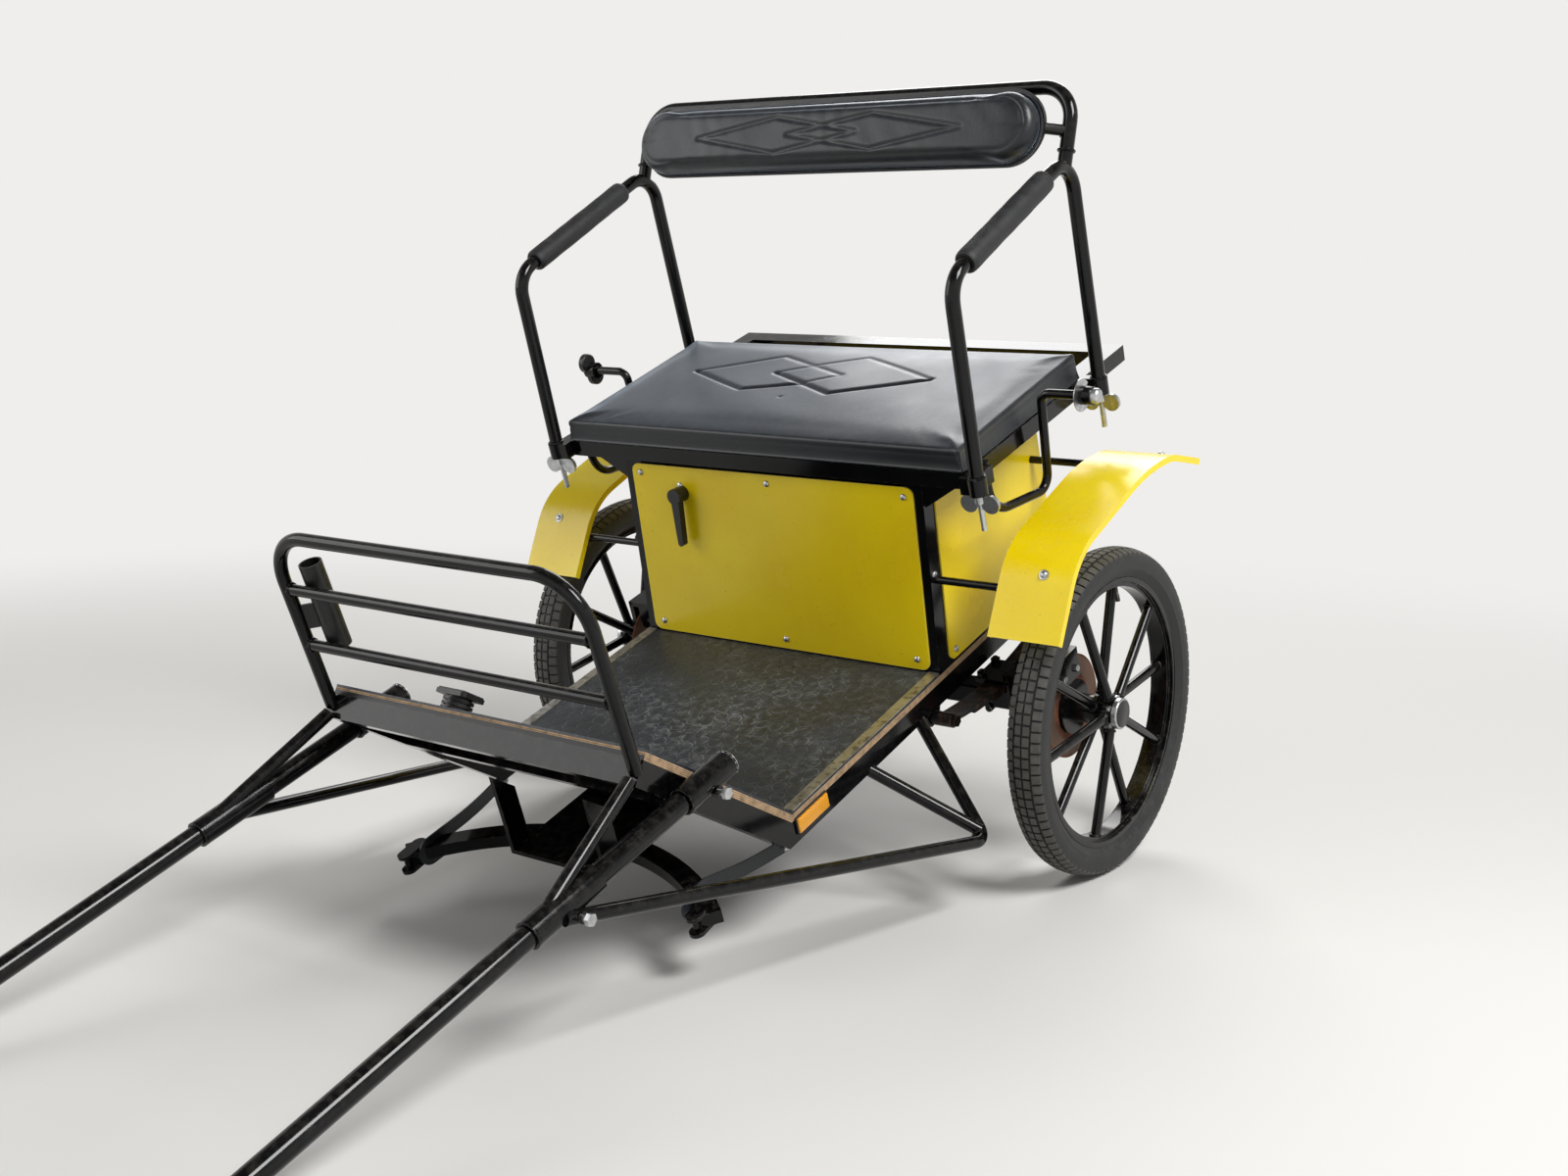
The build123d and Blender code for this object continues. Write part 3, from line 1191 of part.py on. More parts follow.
with BuildPart() as lamp_clamps:
    for side in (-1, 1):
        clamp_x = LAMP_ROD_X + LAMP_ROD_REACH - CLAMP_LENGTH / 2 - 8.0
        with BuildSketch(Plane.YZ.offset(side * clamp_x - CLAMP_LENGTH / 2)) as ring:
            with Locations((LAMP_ROD_Y, LAMP_ROD_HEIGHT)):
                Circle(CLAMP_DIAMETER / 2)
                Circle(LAMP_ROD / 2 + TOUCH, mode=Mode.SUBTRACT)
        extrude(ring.sketch, amount=CLAMP_LENGTH)
pieces["lamp_clamps"] = lamp_clamps

with BuildPart() as latch_lever:
    lever_plane = front_plane.offset(TOUCH)
    lever_tip = LEVER_HEIGHT - LEVER_ARM_LENGTH
    with BuildSketch(lever_plane) as knob:
        with Locations((LEVER_X, LEVER_HEIGHT)):
            Circle(LEVER_KNOB / 2)
    extrude(knob.sketch, amount=LEVER_KNOB_DEPTH)
    with BuildSketch(lever_plane.offset(LEVER_ARM_START)) as handle:
        with BuildLine():
            Polyline(
                (LEVER_X - LEVER_ARM_TOP / 2, LEVER_HEIGHT),
                (LEVER_X + LEVER_ARM_TOP / 2, LEVER_HEIGHT),
                (LEVER_X + LEVER_ARM_TIP / 2, lever_tip),
                (LEVER_X - LEVER_ARM_TIP / 2, lever_tip),
                close=True,
            )
        make_face()
        with Locations((LEVER_X, lever_tip)):
            Circle(LEVER_ARM_TIP / 2)
    extrude(handle.sketch, amount=LEVER_ARM_DEPTH)
pieces["latch_lever"] = latch_lever

# Parking: the shafts' lower bends and the wheels rest on the ground
contact_y = SHAFT_BEND_Y
lever_y = -contact_y
lever_z = shaft_z + SHAFT_BEND_RADIUS - AXLE_Z
reach = hypot(lever_y, lever_z)
drop = TYRE_RADIUS - SHAFT_DIAMETER / 2 - SHAFT_BEND_RADIUS
park_angle = asin(drop / reach) + atan2(lever_z, lever_y)
ground = TYRE_RADIUS - AXLE_Z * cos(park_angle)
leaned = Location((0, AXLE_Z * sin(park_angle), ground), (degrees(park_angle), 0, 0))
outline = [(leaned * piece.part).bounding_box() for piece in pieces.values()]
middle_y = (min(box.min.Y for box in outline) + max(box.max.Y for box in outline)) / 2
parked = Location((0, -middle_y, 0)) * leaned

os.makedirs("parts", exist_ok=True)
for name, piece in pieces.items():
    placed = parked * piece.part
    placed.label = name
    export_step(placed, f"parts/{name}.step")
print("park angle", round(degrees(park_angle), 2), "shift", round(-middle_y, 2))
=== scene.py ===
"""The looks of a two-wheeled pony cart: enamel, vinyl, rubber, plywood, tread, bolts and dirt.

Lengths are millimetres in the cart's driving frame: -Y is forward, +X is the driver's left, +Z is
up, and the origin is above the middle of the axle at the height of the floor's walking surface.
parked() turns such points to metres of the parked cart.
"""
import json
from math import cos, pi, radians, sin, sqrt
from types import SimpleNamespace

import bmesh
import bpy
import numpy as np
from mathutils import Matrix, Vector


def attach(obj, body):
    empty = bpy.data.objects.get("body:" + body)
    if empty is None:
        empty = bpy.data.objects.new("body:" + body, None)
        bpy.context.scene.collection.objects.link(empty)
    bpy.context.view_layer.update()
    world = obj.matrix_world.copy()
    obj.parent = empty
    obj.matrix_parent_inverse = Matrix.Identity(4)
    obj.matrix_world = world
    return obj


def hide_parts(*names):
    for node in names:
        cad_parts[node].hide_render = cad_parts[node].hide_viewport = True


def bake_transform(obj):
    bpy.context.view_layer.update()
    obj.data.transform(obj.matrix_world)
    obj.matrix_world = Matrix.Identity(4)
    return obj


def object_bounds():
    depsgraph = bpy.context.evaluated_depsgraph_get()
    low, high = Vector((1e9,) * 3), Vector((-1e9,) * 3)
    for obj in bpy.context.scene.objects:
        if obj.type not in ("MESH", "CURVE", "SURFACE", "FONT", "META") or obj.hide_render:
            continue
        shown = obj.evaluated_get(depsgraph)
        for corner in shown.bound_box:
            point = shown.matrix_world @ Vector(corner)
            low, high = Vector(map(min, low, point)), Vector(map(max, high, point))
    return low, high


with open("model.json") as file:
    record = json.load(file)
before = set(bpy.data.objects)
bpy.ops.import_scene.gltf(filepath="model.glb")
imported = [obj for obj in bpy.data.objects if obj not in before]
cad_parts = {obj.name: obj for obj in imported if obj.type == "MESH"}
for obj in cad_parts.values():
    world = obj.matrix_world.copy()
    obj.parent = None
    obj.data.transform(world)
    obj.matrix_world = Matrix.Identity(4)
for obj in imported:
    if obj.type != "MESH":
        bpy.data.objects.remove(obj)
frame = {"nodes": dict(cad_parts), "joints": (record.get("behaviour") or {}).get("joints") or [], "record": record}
cad_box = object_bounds()
nodes = frame["nodes"]
scene = bpy.context.scene
joints = {joint["name"]: joint for joint in frame["joints"]}
SIDES = (("right", -1), ("left", 1))
MM = 0.001

# Sizes that the pieces below share with the cart's solids
AXLE_DROP = 139.0
WHEEL_X = 552.0
TYRE_RADIUS = 295.0
RIM_RADIUS = 233.0
HUB_OUTER_FLANGE_X = 568.0
HUB_CAP_X = 580.0
FLOOR_HALF_WIDTH = 337.0
FOLD_Y = -628.0
TOE_ANGLE = radians(46.0)
BOX_FRONT_Y = -174.0
BOX_LEAN = radians(7.4)
ARM_X = 473.0
ARM_FRONT = (-146.0, 716.0)
ARM_SLOPE = 0.17536
TUBE_RADIUS = 12.5
HOOP_LEAN = radians(31.0)
HOOP_FOOT = (261.0, 787.4)
BACK_CENTRE_Z = 828.0
SHAFT_X = 358.65
SHAFT_Z = 182.0
DASH_HALF_WIDTH = 331.0
LAMP_TIP = (582.0, 72.0, 437.0)

# The parked cart's axes, as rows, from the joints that run along them
slide_axis = np.array(joints["shaft_left_slide"]["axis"])
cart_axes = np.array([[1.0, 0.0, 0.0], -slide_axis, joints["swingletree_swing"]["axis"]])
wheel_centres = [np.array(joints[f"wheel_{name}_spin"]["pos_m"]) for name, side in SIDES]
cart_origin = sum(wheel_centres) / 2 + AXLE_DROP * MM * cart_axes[2]


def parked(points):
    """Points of the driving frame in mm, as metres of the parked cart: origin + x X + y Y + z Z."""
    return cart_origin + (np.asarray(points, float) * MM) @ cart_axes


def turned_axis(direction):
    """A direction of the driving frame, in the parked frame."""
    return tuple(np.asarray(direction, float) @ cart_axes)


# Surfaces


def quads(rows, columns, close_rows=False, close_columns=False):
    """Faces of a grid of points: each joins neighbours i, i+1 along rows and j, j+1 along columns."""
    i = np.arange(rows if close_rows else rows - 1)[:, None]
    j = np.arange(columns if close_columns else columns - 1)[None, :]
    row, next_row, next_j = i * columns, (i + 1) % rows * columns, (j + 1) % columns
    return np.stack([row + j, row + next_j, next_row + next_j, next_row + j], -1).reshape(-1, 4)


def unit(vectors):
    """Vectors divided by their lengths."""
    vectors = np.asarray(vectors, float)
    return vectors / np.linalg.norm(vectors, axis=-1, keepdims=True)


def across(direction):
    """Two unit vectors square to a direction and to each other."""
    axis = unit(direction)
    guide = (0, 0, 1) if abs(axis[2]) < 0.9 else (0, 1, 0)
    first = unit(np.cross(guide, axis))
    return axis, first, np.cross(axis, first)


def turned(profile, spot, direction, segments=28, close=False):
    """A profile of (height h, radius r) turned about a line: spot + h A + r (cos t U + sin t V)."""
    axis, u, v = across(direction)
    height, radius = np.array(profile, float).T[:, :, None, None]
    t = np.linspace(0, 2 * pi, segments, endpoint=False)[None, :, None]
    points = np.asarray(spot, float) + height * axis + radius * (np.cos(t) * u + np.sin(t) * v)
    return points.reshape(-1, 3), quads(len(profile), segments, close, True)


def carried(path, section, up):
    """A closed section of (across, above) carried along a path: path + across (T x up) + above (S x T).
    A last row at each end, drawn together to a point, closes it."""
    path = np.asarray(path, float)
    along = unit(np.gradient(path, axis=0))
    side = unit(np.cross(along, up))
    above = np.cross(side, along)
    rows = np.r_[0, np.arange(len(path)), len(path) - 1]
    shares = np.ones((len(rows), 1, 1))
    shares[[0, -1]] = 0.0
    flat = np.array(section, float) * shares
    points = path[rows, None] + flat[..., :1] * side[rows, None] + flat[..., 1:] * above[rows, None]
    return points.reshape(-1, 3), quads(len(rows), len(section), False, True)


def bead(spot, direction, radius, thickness):
    """A weld: a ring of thickness q about a tube, where q swells and thins as 1 + 0.16 sin 15t."""
    axis, u, v = across(direction)
    t = np.linspace(0, 2 * pi, 45, endpoint=False)[:, None, None]
    s = np.linspace(0, 2 * pi, 8, endpoint=False)[None, :, None]
    q = thickness * (1 + 0.16 * np.sin(15 * t))
    ring = np.cos(t) * u + np.sin(t) * v
    points = np.asarray(spot, float) + (radius + q * np.cos(s)) * ring + q * np.sin(s) * axis
    return points.reshape(-1, 3), quads(45, 8, True, True)


def steps(half, edge, cell):
    """Positions from -half to half: even cells on the flat, and three more on each rounded edge."""
    flat = half - edge
    middle = np.linspace(-flat, flat, max(2, round(2 * flat / cell) + 1))
    rounding = np.linspace(-half, -flat, 3, endpoint=False)
    return np.r_[rounding, middle, -rounding[::-1]]


def rounded_box(centre, size, edge, cell=1e6, axes=((1, 0, 0), (0, 1, 0), (0, 0, 1))):
    """A box with round edges: each point p of its six faces goes to c + edge (p - c) / |p - c|, where
    c is p held inside the box by the edge's radius."""
    half = np.array(size, float) / 2
    shells = []
    for k in range(3):
        a, b = (k + 1) % 3, (k + 2) % 3
        grid = np.meshgrid(steps(half[a], edge, cell), steps(half[b], edge, cell), indexing="ij")
        for end in (-1, 1):
            p = np.empty(grid[0].shape + (3,))
            p[..., a], p[..., b], p[..., k] = grid[0], grid[1], end * half[k]
            core = np.clip(p, edge - half, half - edge)
            p = core + edge * unit(p - core)
            rows, columns = grid[0].shape
            faces = quads(rows, columns)[:, ::end]
            shells.append((np.asarray(centre, float) + p.reshape(-1, 3) @ np.array(axes, float), faces))
    return joined(shells)


def strip(width, thickness):
    """The section of a flat strip, for carried()."""
    return [(width / 2 * a, thickness / 2 * b) for a, b in ((-1, -1), (1, -1), (1, 1), (-1, 1))]


def joined(shells):
    """Several surfaces as one list of points and one of faces."""
    starts = np.cumsum([0] + [len(points) for points, faces in shells[:-1]])
    points = np.concatenate([points for points, faces in shells])
    return points, np.concatenate([faces + start for (_, faces), start in zip(shells, starts)])


def make_piece(name, shells, slot, body="cart", crease=38.0):
    """A closed mesh from surfaces in the driving frame, with its slot's finish, and its body."""
    points, faces = joined(shells)
    mesh = bpy.data.meshes.new(name)
    mesh.from_pydata(parked(points).tolist(), [], faces.tolist())
    work = bmesh.new()
    work.from_mesh(mesh)
    bmesh.ops.remove_doubles(work, verts=work.verts, dist=2e-6)
    bmesh.ops.recalc_face_normals(work, faces=work.faces)
    work.to_mesh(mesh)
    work.free()
    mesh.shade_smooth()
    mesh.set_sharp_from_angle(angle=radians(crease))
    mesh.materials.append(finishes[slot])
    piece = bpy.data.objects.new(name, mesh)
    scene.collection.objects.link(piece)
    if body:
        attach(piece, body)
    return piece


def driving(mesh):
    """A mesh's points in the driving frame, in mm."""
    points = np.empty(len(mesh.vertices) * 3)
    mesh.vertices.foreach_get("co", points)
    return (points.reshape(-1, 3) - cart_origin) @ cart_axes.T / MM


def move_points(mesh, points):
    """Puts points of the driving frame back into a mesh."""
    mesh.vertices.foreach_set("co", parked(points).ravel())
    mesh.update()


# Materials


def srgb(code):
    """A hex colour such as "E2B617" as linear red, green, blue and alpha."""
    parts = [int(code[i : i + 2], 16) / 255 for i in (0, 2, 4)]
    linear = [c / 12.92 if c <= 0.04045 else ((c + 0.055) / 1.055) ** 2.4 for c in parts]
    return (*linear, 1.0)


def add(tree, kind, *values, **named):
    """Adds a node and gives its first output in use. A kind may end in its mode, as "Math.ADD" does.

    The values go to its inputs in use, in order, and each named one to an input or a setting. An input
    takes a value, a hex colour or a socket to link."""
    kind, _, mode = kind.partition(".")
    node = tree.nodes.new("ShaderNode" + kind)
    if mode:
        setattr(node, "data_type" if kind == "Mix" else "operation", mode)
    for key in [key for key in named if hasattr(node, key)]:
        setattr(node, key, named.pop(key))
    sockets = [socket for socket in node.inputs if socket.enabled]
    for socket, value in [*zip(sockets, values), *((node.inputs[key], named[key]) for key in named)]:
        if isinstance(value, bpy.types.NodeSocket):
            tree.links.new(value, socket)
        else:
            socket.default_value = srgb(value) if isinstance(value, str) else value
    return next((socket for socket in node.outputs if socket.enabled), None)


def finish(name, tones, blotch, gloss, dust, grain, extra=None, **settings):
    """A material: two tones in blotches, a film where a face looks up that is dust, and in some finishes painted
    light too, varied gloss and a fine grain.

    tones are two hex codes and blotch their patches' size in mm; gloss is the roughness of the clean
    and of the dusty surface; dust is (hex code, greatest share); grain is (size, height) in mm;
    extra(tree, place, looks) may change looks, the sockets that reach the shader; settings are the
    shader's own values.
    """
    material = bpy.data.materials.new(name)
    material.use_nodes = True
    tree = material.node_tree
    shader = tree.nodes["Principled BSDF"]
    for key, value in settings.items():
        shader.inputs[key.replace("_", " ")].default_value = value
    coordinates = add(tree, "TexCoord").node.outputs
    place = coordinates["Object"]
    patches = add(tree, "TexNoise", Vector=place, Scale=1000 / blotch, Detail=4.0)
    share = add(tree, "MapRange", patches, 0.38, 0.64)
    tone = add(tree, "Mix.RGBA", share, tones[0], tones[1])
    rise = add(tree, "VectorMath.DOT_PRODUCT", coordinates["Normal"], (0, 0, 1))
    upward = add(tree, "MapRange", rise, -0.2, 0.9)
    motes = add(tree, "TexNoise", Vector=place, Scale=1000 / 14, Detail=7.0, Roughness=0.62)
    scatter = add(tree, "MapRange", motes, 0.44, 0.72)
    # The film on upward faces is dust; the extras below may add painted light to it
    dust_and_painted_light = add(tree, "Math.MULTIPLY", upward, scatter)
    dust_and_painted_light = add(tree, "Math.MULTIPLY", dust_and_painted_light, dust[1])
    height = add(tree, "TexNoise", Vector=place, Scale=1000 / grain[0], Detail=2.0)
    looks = SimpleNamespace(dust_and_painted_light=dust_and_painted_light, motes=motes, patches=patches, tone=tone, height=height)
    looks.normal, looks.rough, looks.metal = coordinates["Normal"], None, None
    if extra:
        extra(tree, place, looks)
    colour = add(tree, "Mix.RGBA", looks.dust_and_painted_light, looks.tone, dust[0])
    rough = looks.rough or add(tree, "MapRange", looks.patches, 0.3, 0.75, gloss[0], gloss[1])
    dulled = add(tree, "Mix", looks.dust_and_painted_light, rough, 0.7)
    bump = add(tree, "Bump", Height=looks.height, Strength=1.0, Distance=grain[1] * MM)
    links = {"Base Color": colour, "Roughness": dulled, "Normal": bump, "Metallic": looks.metal}
    for key, socket in links.items():
        if socket:
            tree.links.new(socket, shader.inputs[key])
    return material


def along_cart(tree, place, direction):
    """Distance in mm of a point along a direction of the driving frame, from the cart's origin."""
    axis = np.array(turned_axis(direction))
    measured = add(tree, "VectorMath.DOT_PRODUCT", place, tuple(axis / MM))
    start = float(axis @ cart_origin / MM)
    return add(tree, "Math.SUBTRACT", measured, start)


def edge_share(tree, radius, low, high):
    """1 on sharp edges, 0 on flats: how far a normal rounded over a radius in mm has turned."""
    rounded = add(tree, "Bevel", Radius=radius * MM, samples=3)
    true = add(tree, "NewGeometry").node.outputs["Normal"]
    match = add(tree, "VectorMath.DOT_PRODUCT", rounded, true)
    return add(tree, "MapRange", match, 1 - low, 1 - high)


def chipped(tree, place, looks):
    """Enamel worn to dull primer and steel along its edges, in flecks."""
    edge = edge_share(tree, 1.6, 0.02, 0.12)
    fleck = add(tree, "MapRange", looks.motes, 0.53, 0.6)
    worn = add(tree, "Math.MULTIPLY", edge, fleck)
    looks.tone = add(tree, "Mix.RGBA", worn, looks.tone, "6B625A")


def pale_edge(tree, place, looks):
    """Enamel that is thin and light along a sheet's cut edge, with dirt in speckles."""
    edge = edge_share(tree, 1.8, 0.05, 0.3)
    thin = add(tree, "Math.MULTIPLY", edge, 0.55)
    looks.tone = add(tree, "Mix.RGBA", thin, looks.tone, "F4EBB0")
    speck = add(tree, "TexNoise", Vector=place, Scale=1000 / 5, Detail=3.0)
    spot = add(tree, "MapRange", speck, 0.68, 0.76, 0.0, 0.5)
    looks.tone = add(tree, "Mix.RGBA", spot, looks.tone, "8A7A2A")


def leather_grain(tree, place, looks):
    """Embossed vinyl: pebbles about 2 mm across, a little coarse so that they show, and soft creases, with painted
    shade darkening the hollows between the pebbles.
    """
    pebble = add(tree, "TexVoronoi", Vector=place, Scale=1000 / 2.2, feature="DISTANCE_TO_EDGE")
    dome_and_hollow_shade = add(tree, "MapRange", pebble, 0.0, 0.28)
    stretched = add(tree, "Mapping", Vector=place, Scale=(1.0, 0.25, 0.25))
    crease = add(tree, "TexNoise", Vector=stretched, Scale=1000 / 9, Detail=2.0, Distortion=1.6)
    fold = add(tree, "MapRange", crease, 0.36, 0.5, 0.0, 1.6)
    looks.height = add(tree, "Math.ADD", dome_and_hollow_shade, fold)
    # Painted shade: the hollows between the pebbles are coloured darker
    looks.tone = add(tree, "Mix.RGBA", dome_and_hollow_shade, "0B0C0E", looks.tone)


def coins(tree, place, looks):
    """Rubber matting: raised coins 25 mm across, close together, with pale rims that are partly scuffed by boots
    and partly painted highlight.

    The distance to the nearest coin is the least of two square patterns set half a step apart."""
    level = add(tree, "VectorMath.DOT_PRODUCT", looks.normal, turned_axis((0, 0, 1)))
    flat = add(tree, "Math.GREATER_THAN", level, 0.9)
    floor_way = along_cart(tree, place, (0, 1, 0))
    toe_way = along_cart(tree, place, (0, cos(TOE_ANGLE), -sin(TOE_ANGLE)))
    way = add(tree, "Mix", flat, toe_way, floor_way)
    row = add(tree, "Math.DIVIDE", way, COIN_STEP * sqrt(3))
    sideways = along_cart(tree, place, (1, 0, 0))
    column = add(tree, "Math.DIVIDE", sideways, COIN_STEP)
    spot = add(tree, "CombineXYZ", column, row)
    reaches = []
    for offset in (0.0, 0.5):
        moved = add(tree, "VectorMath.ADD", spot, (offset, offset, 0))
        cell = add(tree, "VectorMath.FRACTION", moved)
        centred = add(tree, "VectorMath.SUBTRACT", cell, (0.5, 0.5, 0))
        real = add(tree, "VectorMath.MULTIPLY", centred, (1, sqrt(3), 0))
        reaches.append(add(tree, "VectorMath.LENGTH", real))
    near = add(tree, "Math.MINIMUM", reaches[0], reaches[1])
    coin = add(tree, "MapRange", near, 0.43, 0.39)
    off_rim = add(tree, "Math.SUBTRACT", near, 0.4)
    off_rim = add(tree, "Math.ABSOLUTE", off_rim)
    rim = add(tree, "MapRange", off_rim, 0.055, 0.01)
    trodden = add(tree, "TexNoise", Vector=place, Scale=1000 / 210, Detail=5.0)
    trodden = add(tree, "MapRange", trodden, 0.4, 0.66)
    scuff = add(tree, "MapRange", looks.motes, 0.42, 0.62)
    scuff = add(tree, "Math.MULTIPLY", scuff, trodden)
    # Painted highlight: the pale rims are partly scuffs and partly light caught along the raised edges
    rubbed_and_highlit = add(tree, "Math.MULTIPLY", rim, scuff)
    rubbed_and_highlit = add(tree, "Math.MULTIPLY", rubbed_and_highlit, 0.85)
    haze = add(tree, "Math.MULTIPLY", looks.dust_and_painted_light, trodden)
    looks.dust_and_painted_light = add(tree, "Math.MAXIMUM", haze, rubbed_and_highlit)
    fine = add(tree, "Math.MULTIPLY", looks.height, 0.1)
    looks.height = add(tree, "Math.ADD", coin, fine)


def plies(tree, place, looks):
    """Birch ply: 1.5 mm veneers, light and dark by turns, on bare edges, and black paint elsewhere."""
    across_floor = along_cart(tree, place, (0, 0, 1))
    across_toe = along_cart(tree, place, (0, sin(TOE_ANGLE), cos(TOE_ANGLE)))
    way = along_cart(tree, place, (0, 1, 0))
    on_floor = add(tree, "Math.GREATER_THAN", way, FOLD_Y)
    # The toe board's face passes through the fold, which is FOLD_Y sin a from the origin
    shifted = add(tree, "Math.SUBTRACT", across_toe, FOLD_Y * sin(TOE_ANGLE))
    depth = add(tree, "Mix", on_floor, shifted, across_floor)
    wave = add(tree, "Math.MULTIPLY", depth, 2 * pi / 3.0)
    swing = add(tree, "Math.SINE", wave)
    veneer = add(tree, "MapRange", swing, -0.4, 0.4)
    wood = add(tree, "Mix.RGBA", veneer, "8C7052", "C4A887")
    grime = add(tree, "MapRange", looks.motes, 0.42, 0.68, 0.0, 0.7)
    wood = add(tree, "Mix.RGBA", grime, wood, "5A4B3E")
    facing = add(tree, "VectorMath.DOT_PRODUCT", looks.normal, (1, 0, 0))
    sideways = add(tree, "Math.ABSOLUTE", facing)
    bare_side = add(tree, "MapRange", sideways, 0.6, 0.7)
    toe_way = turned_axis((0, -cos(TOE_ANGLE), sin(TOE_ANGLE)))
    forward = add(tree, "VectorMath.DOT_PRODUCT", looks.normal, toe_way)
    head = add(tree, "Math.GREATER_THAN", forward, 0.9)
    line = add(tree, "Math.GREATER_THAN", depth, -8.5)
    bare_head = add(tree, "Math.MULTIPLY", head, line)
    bare = add(tree, "Math.MAXIMUM", bare_side, bare_head)
    looks.tone = add(tree, "Mix.RGBA", bare, looks.tone, wood)
    looks.rough = add(tree, "Mix", bare, 0.3, 0.8)


def drawn_lines(tree, place, looks):
    """Mill aluminium: fine lines along the strip, dents, and dark oxide in worn patches."""
    drawn = add(tree, "Mapping", Vector=place, Scale=(1.0, 0.03, 0.03))
    line = add(tree, "TexNoise", Vector=drawn, Scale=1000 / 1.2, Detail=3.0)
    looks.height = line
    stain = add(tree, "MapRange", looks.motes, 0.5, 0.66, 0.0, 0.75)
    looks.tone = add(tree, "Mix.RGBA", stain, looks.tone, "5B564F")
    looks.rough = add(tree, "MapRange", line, 0.3, 0.7, 0.28, 0.5)


def prisms(tree, place, looks):
    """Moulded acrylic: rows of small prisms 4 mm across behind a smooth face, each lighter in its middle and
    darker at its edge as a painted glint.
    """
    cell = add(tree, "TexVoronoi", Vector=place, Scale=1000 / 4, Randomness=0.0)
    facet_and_glint = add(tree, "MapRange", cell, 0.0, 0.7)
    looks.height = facet_and_glint
    # Painted glint: each prism's middle is coloured light and its edge dark
    looks.tone = add(tree, "Mix.RGBA", facet_and_glint, "F9B824", "D98408")


def rusting(tree, place, looks):
    """Thin paint on spring steel, with rust that comes through in blotches."""
    rust = add(tree, "MapRange", looks.motes, 0.52, 0.64, 0.0, 0.85)
    shade = add(tree, "Mix.RGBA", looks.patches, "4A2C1C", "7A4A2C")
    looks.tone = add(tree, "Mix.RGBA", rust, looks.tone, shade)


def swept_ring(tree, place, looks):
    """Cast iron: orange-brown rust, and a band swept bright by the pads, in rings about the axle."""
    squares = []
    for direction, start in (((0, 1, 0), 0.0), ((0, 0, 1), -AXLE_DROP)):
        reach = along_cart(tree, place, direction)
        offset = add(tree, "Math.SUBTRACT", reach, start)
        squares.append(add(tree, "Math.POWER", offset, 2.0))
    total = add(tree, "Math.ADD", squares[0], squares[1])
    radius = add(tree, "Math.SQRT", total)
    inner = add(tree, "MapRange", radius, 60.0, 64.0)
    outer = add(tree, "MapRange", radius, 93.0, 90.0)
    band = add(tree, "Math.MULTIPLY", inner, outer)
    ring = add(tree, "Math.MULTIPLY", radius, 2.6)
    score = add(tree, "TexNoise", W=ring, Scale=1.0, Detail=2.0, noise_dimensions="1D")
    swept = add(tree, "Mix.RGBA", score, "4E3A30", "8C7768")
    share = add(tree, "Math.MULTIPLY", band, 0.75)
    looks.tone = add(tree, "Mix.RGBA", share, looks.tone, swept)
    looks.metal = add(tree, "Math.MULTIPLY", share, 0.6)
    looks.rough = add(tree, "Mix", share, 0.9, 0.42)


def dusty_tread(tree, place, looks):
    """Vulcanised rubber: the blocks' tops are scuffed grey by the road, and the grooves are kept dark as painted
    shade, the darker the deeper they go.
    """
    groove = add(tree, "Attribute", attribute_name="groove").node.outputs["Fac"]
    tread = add(tree, "Attribute", attribute_name="tread").node.outputs["Fac"]
    scuff = add(tree, "MapRange", looks.motes, 0.3, 0.7, 0.16, 0.42)
    scuffed = add(tree, "Math.MULTIPLY", tread, scuff)
    dust_and_painted_light = add(tree, "Math.MAXIMUM", looks.dust_and_painted_light, scuffed)
    # Painted shade: the film fades out in the grooves as they deepen, so they stay dark
    top = add(tree, "Math.SUBTRACT", 1.0, groove)
    looks.dust_and_painted_light = add(tree, "Math.MULTIPLY", dust_and_painted_light, top)


COIN_STEP = 30.0
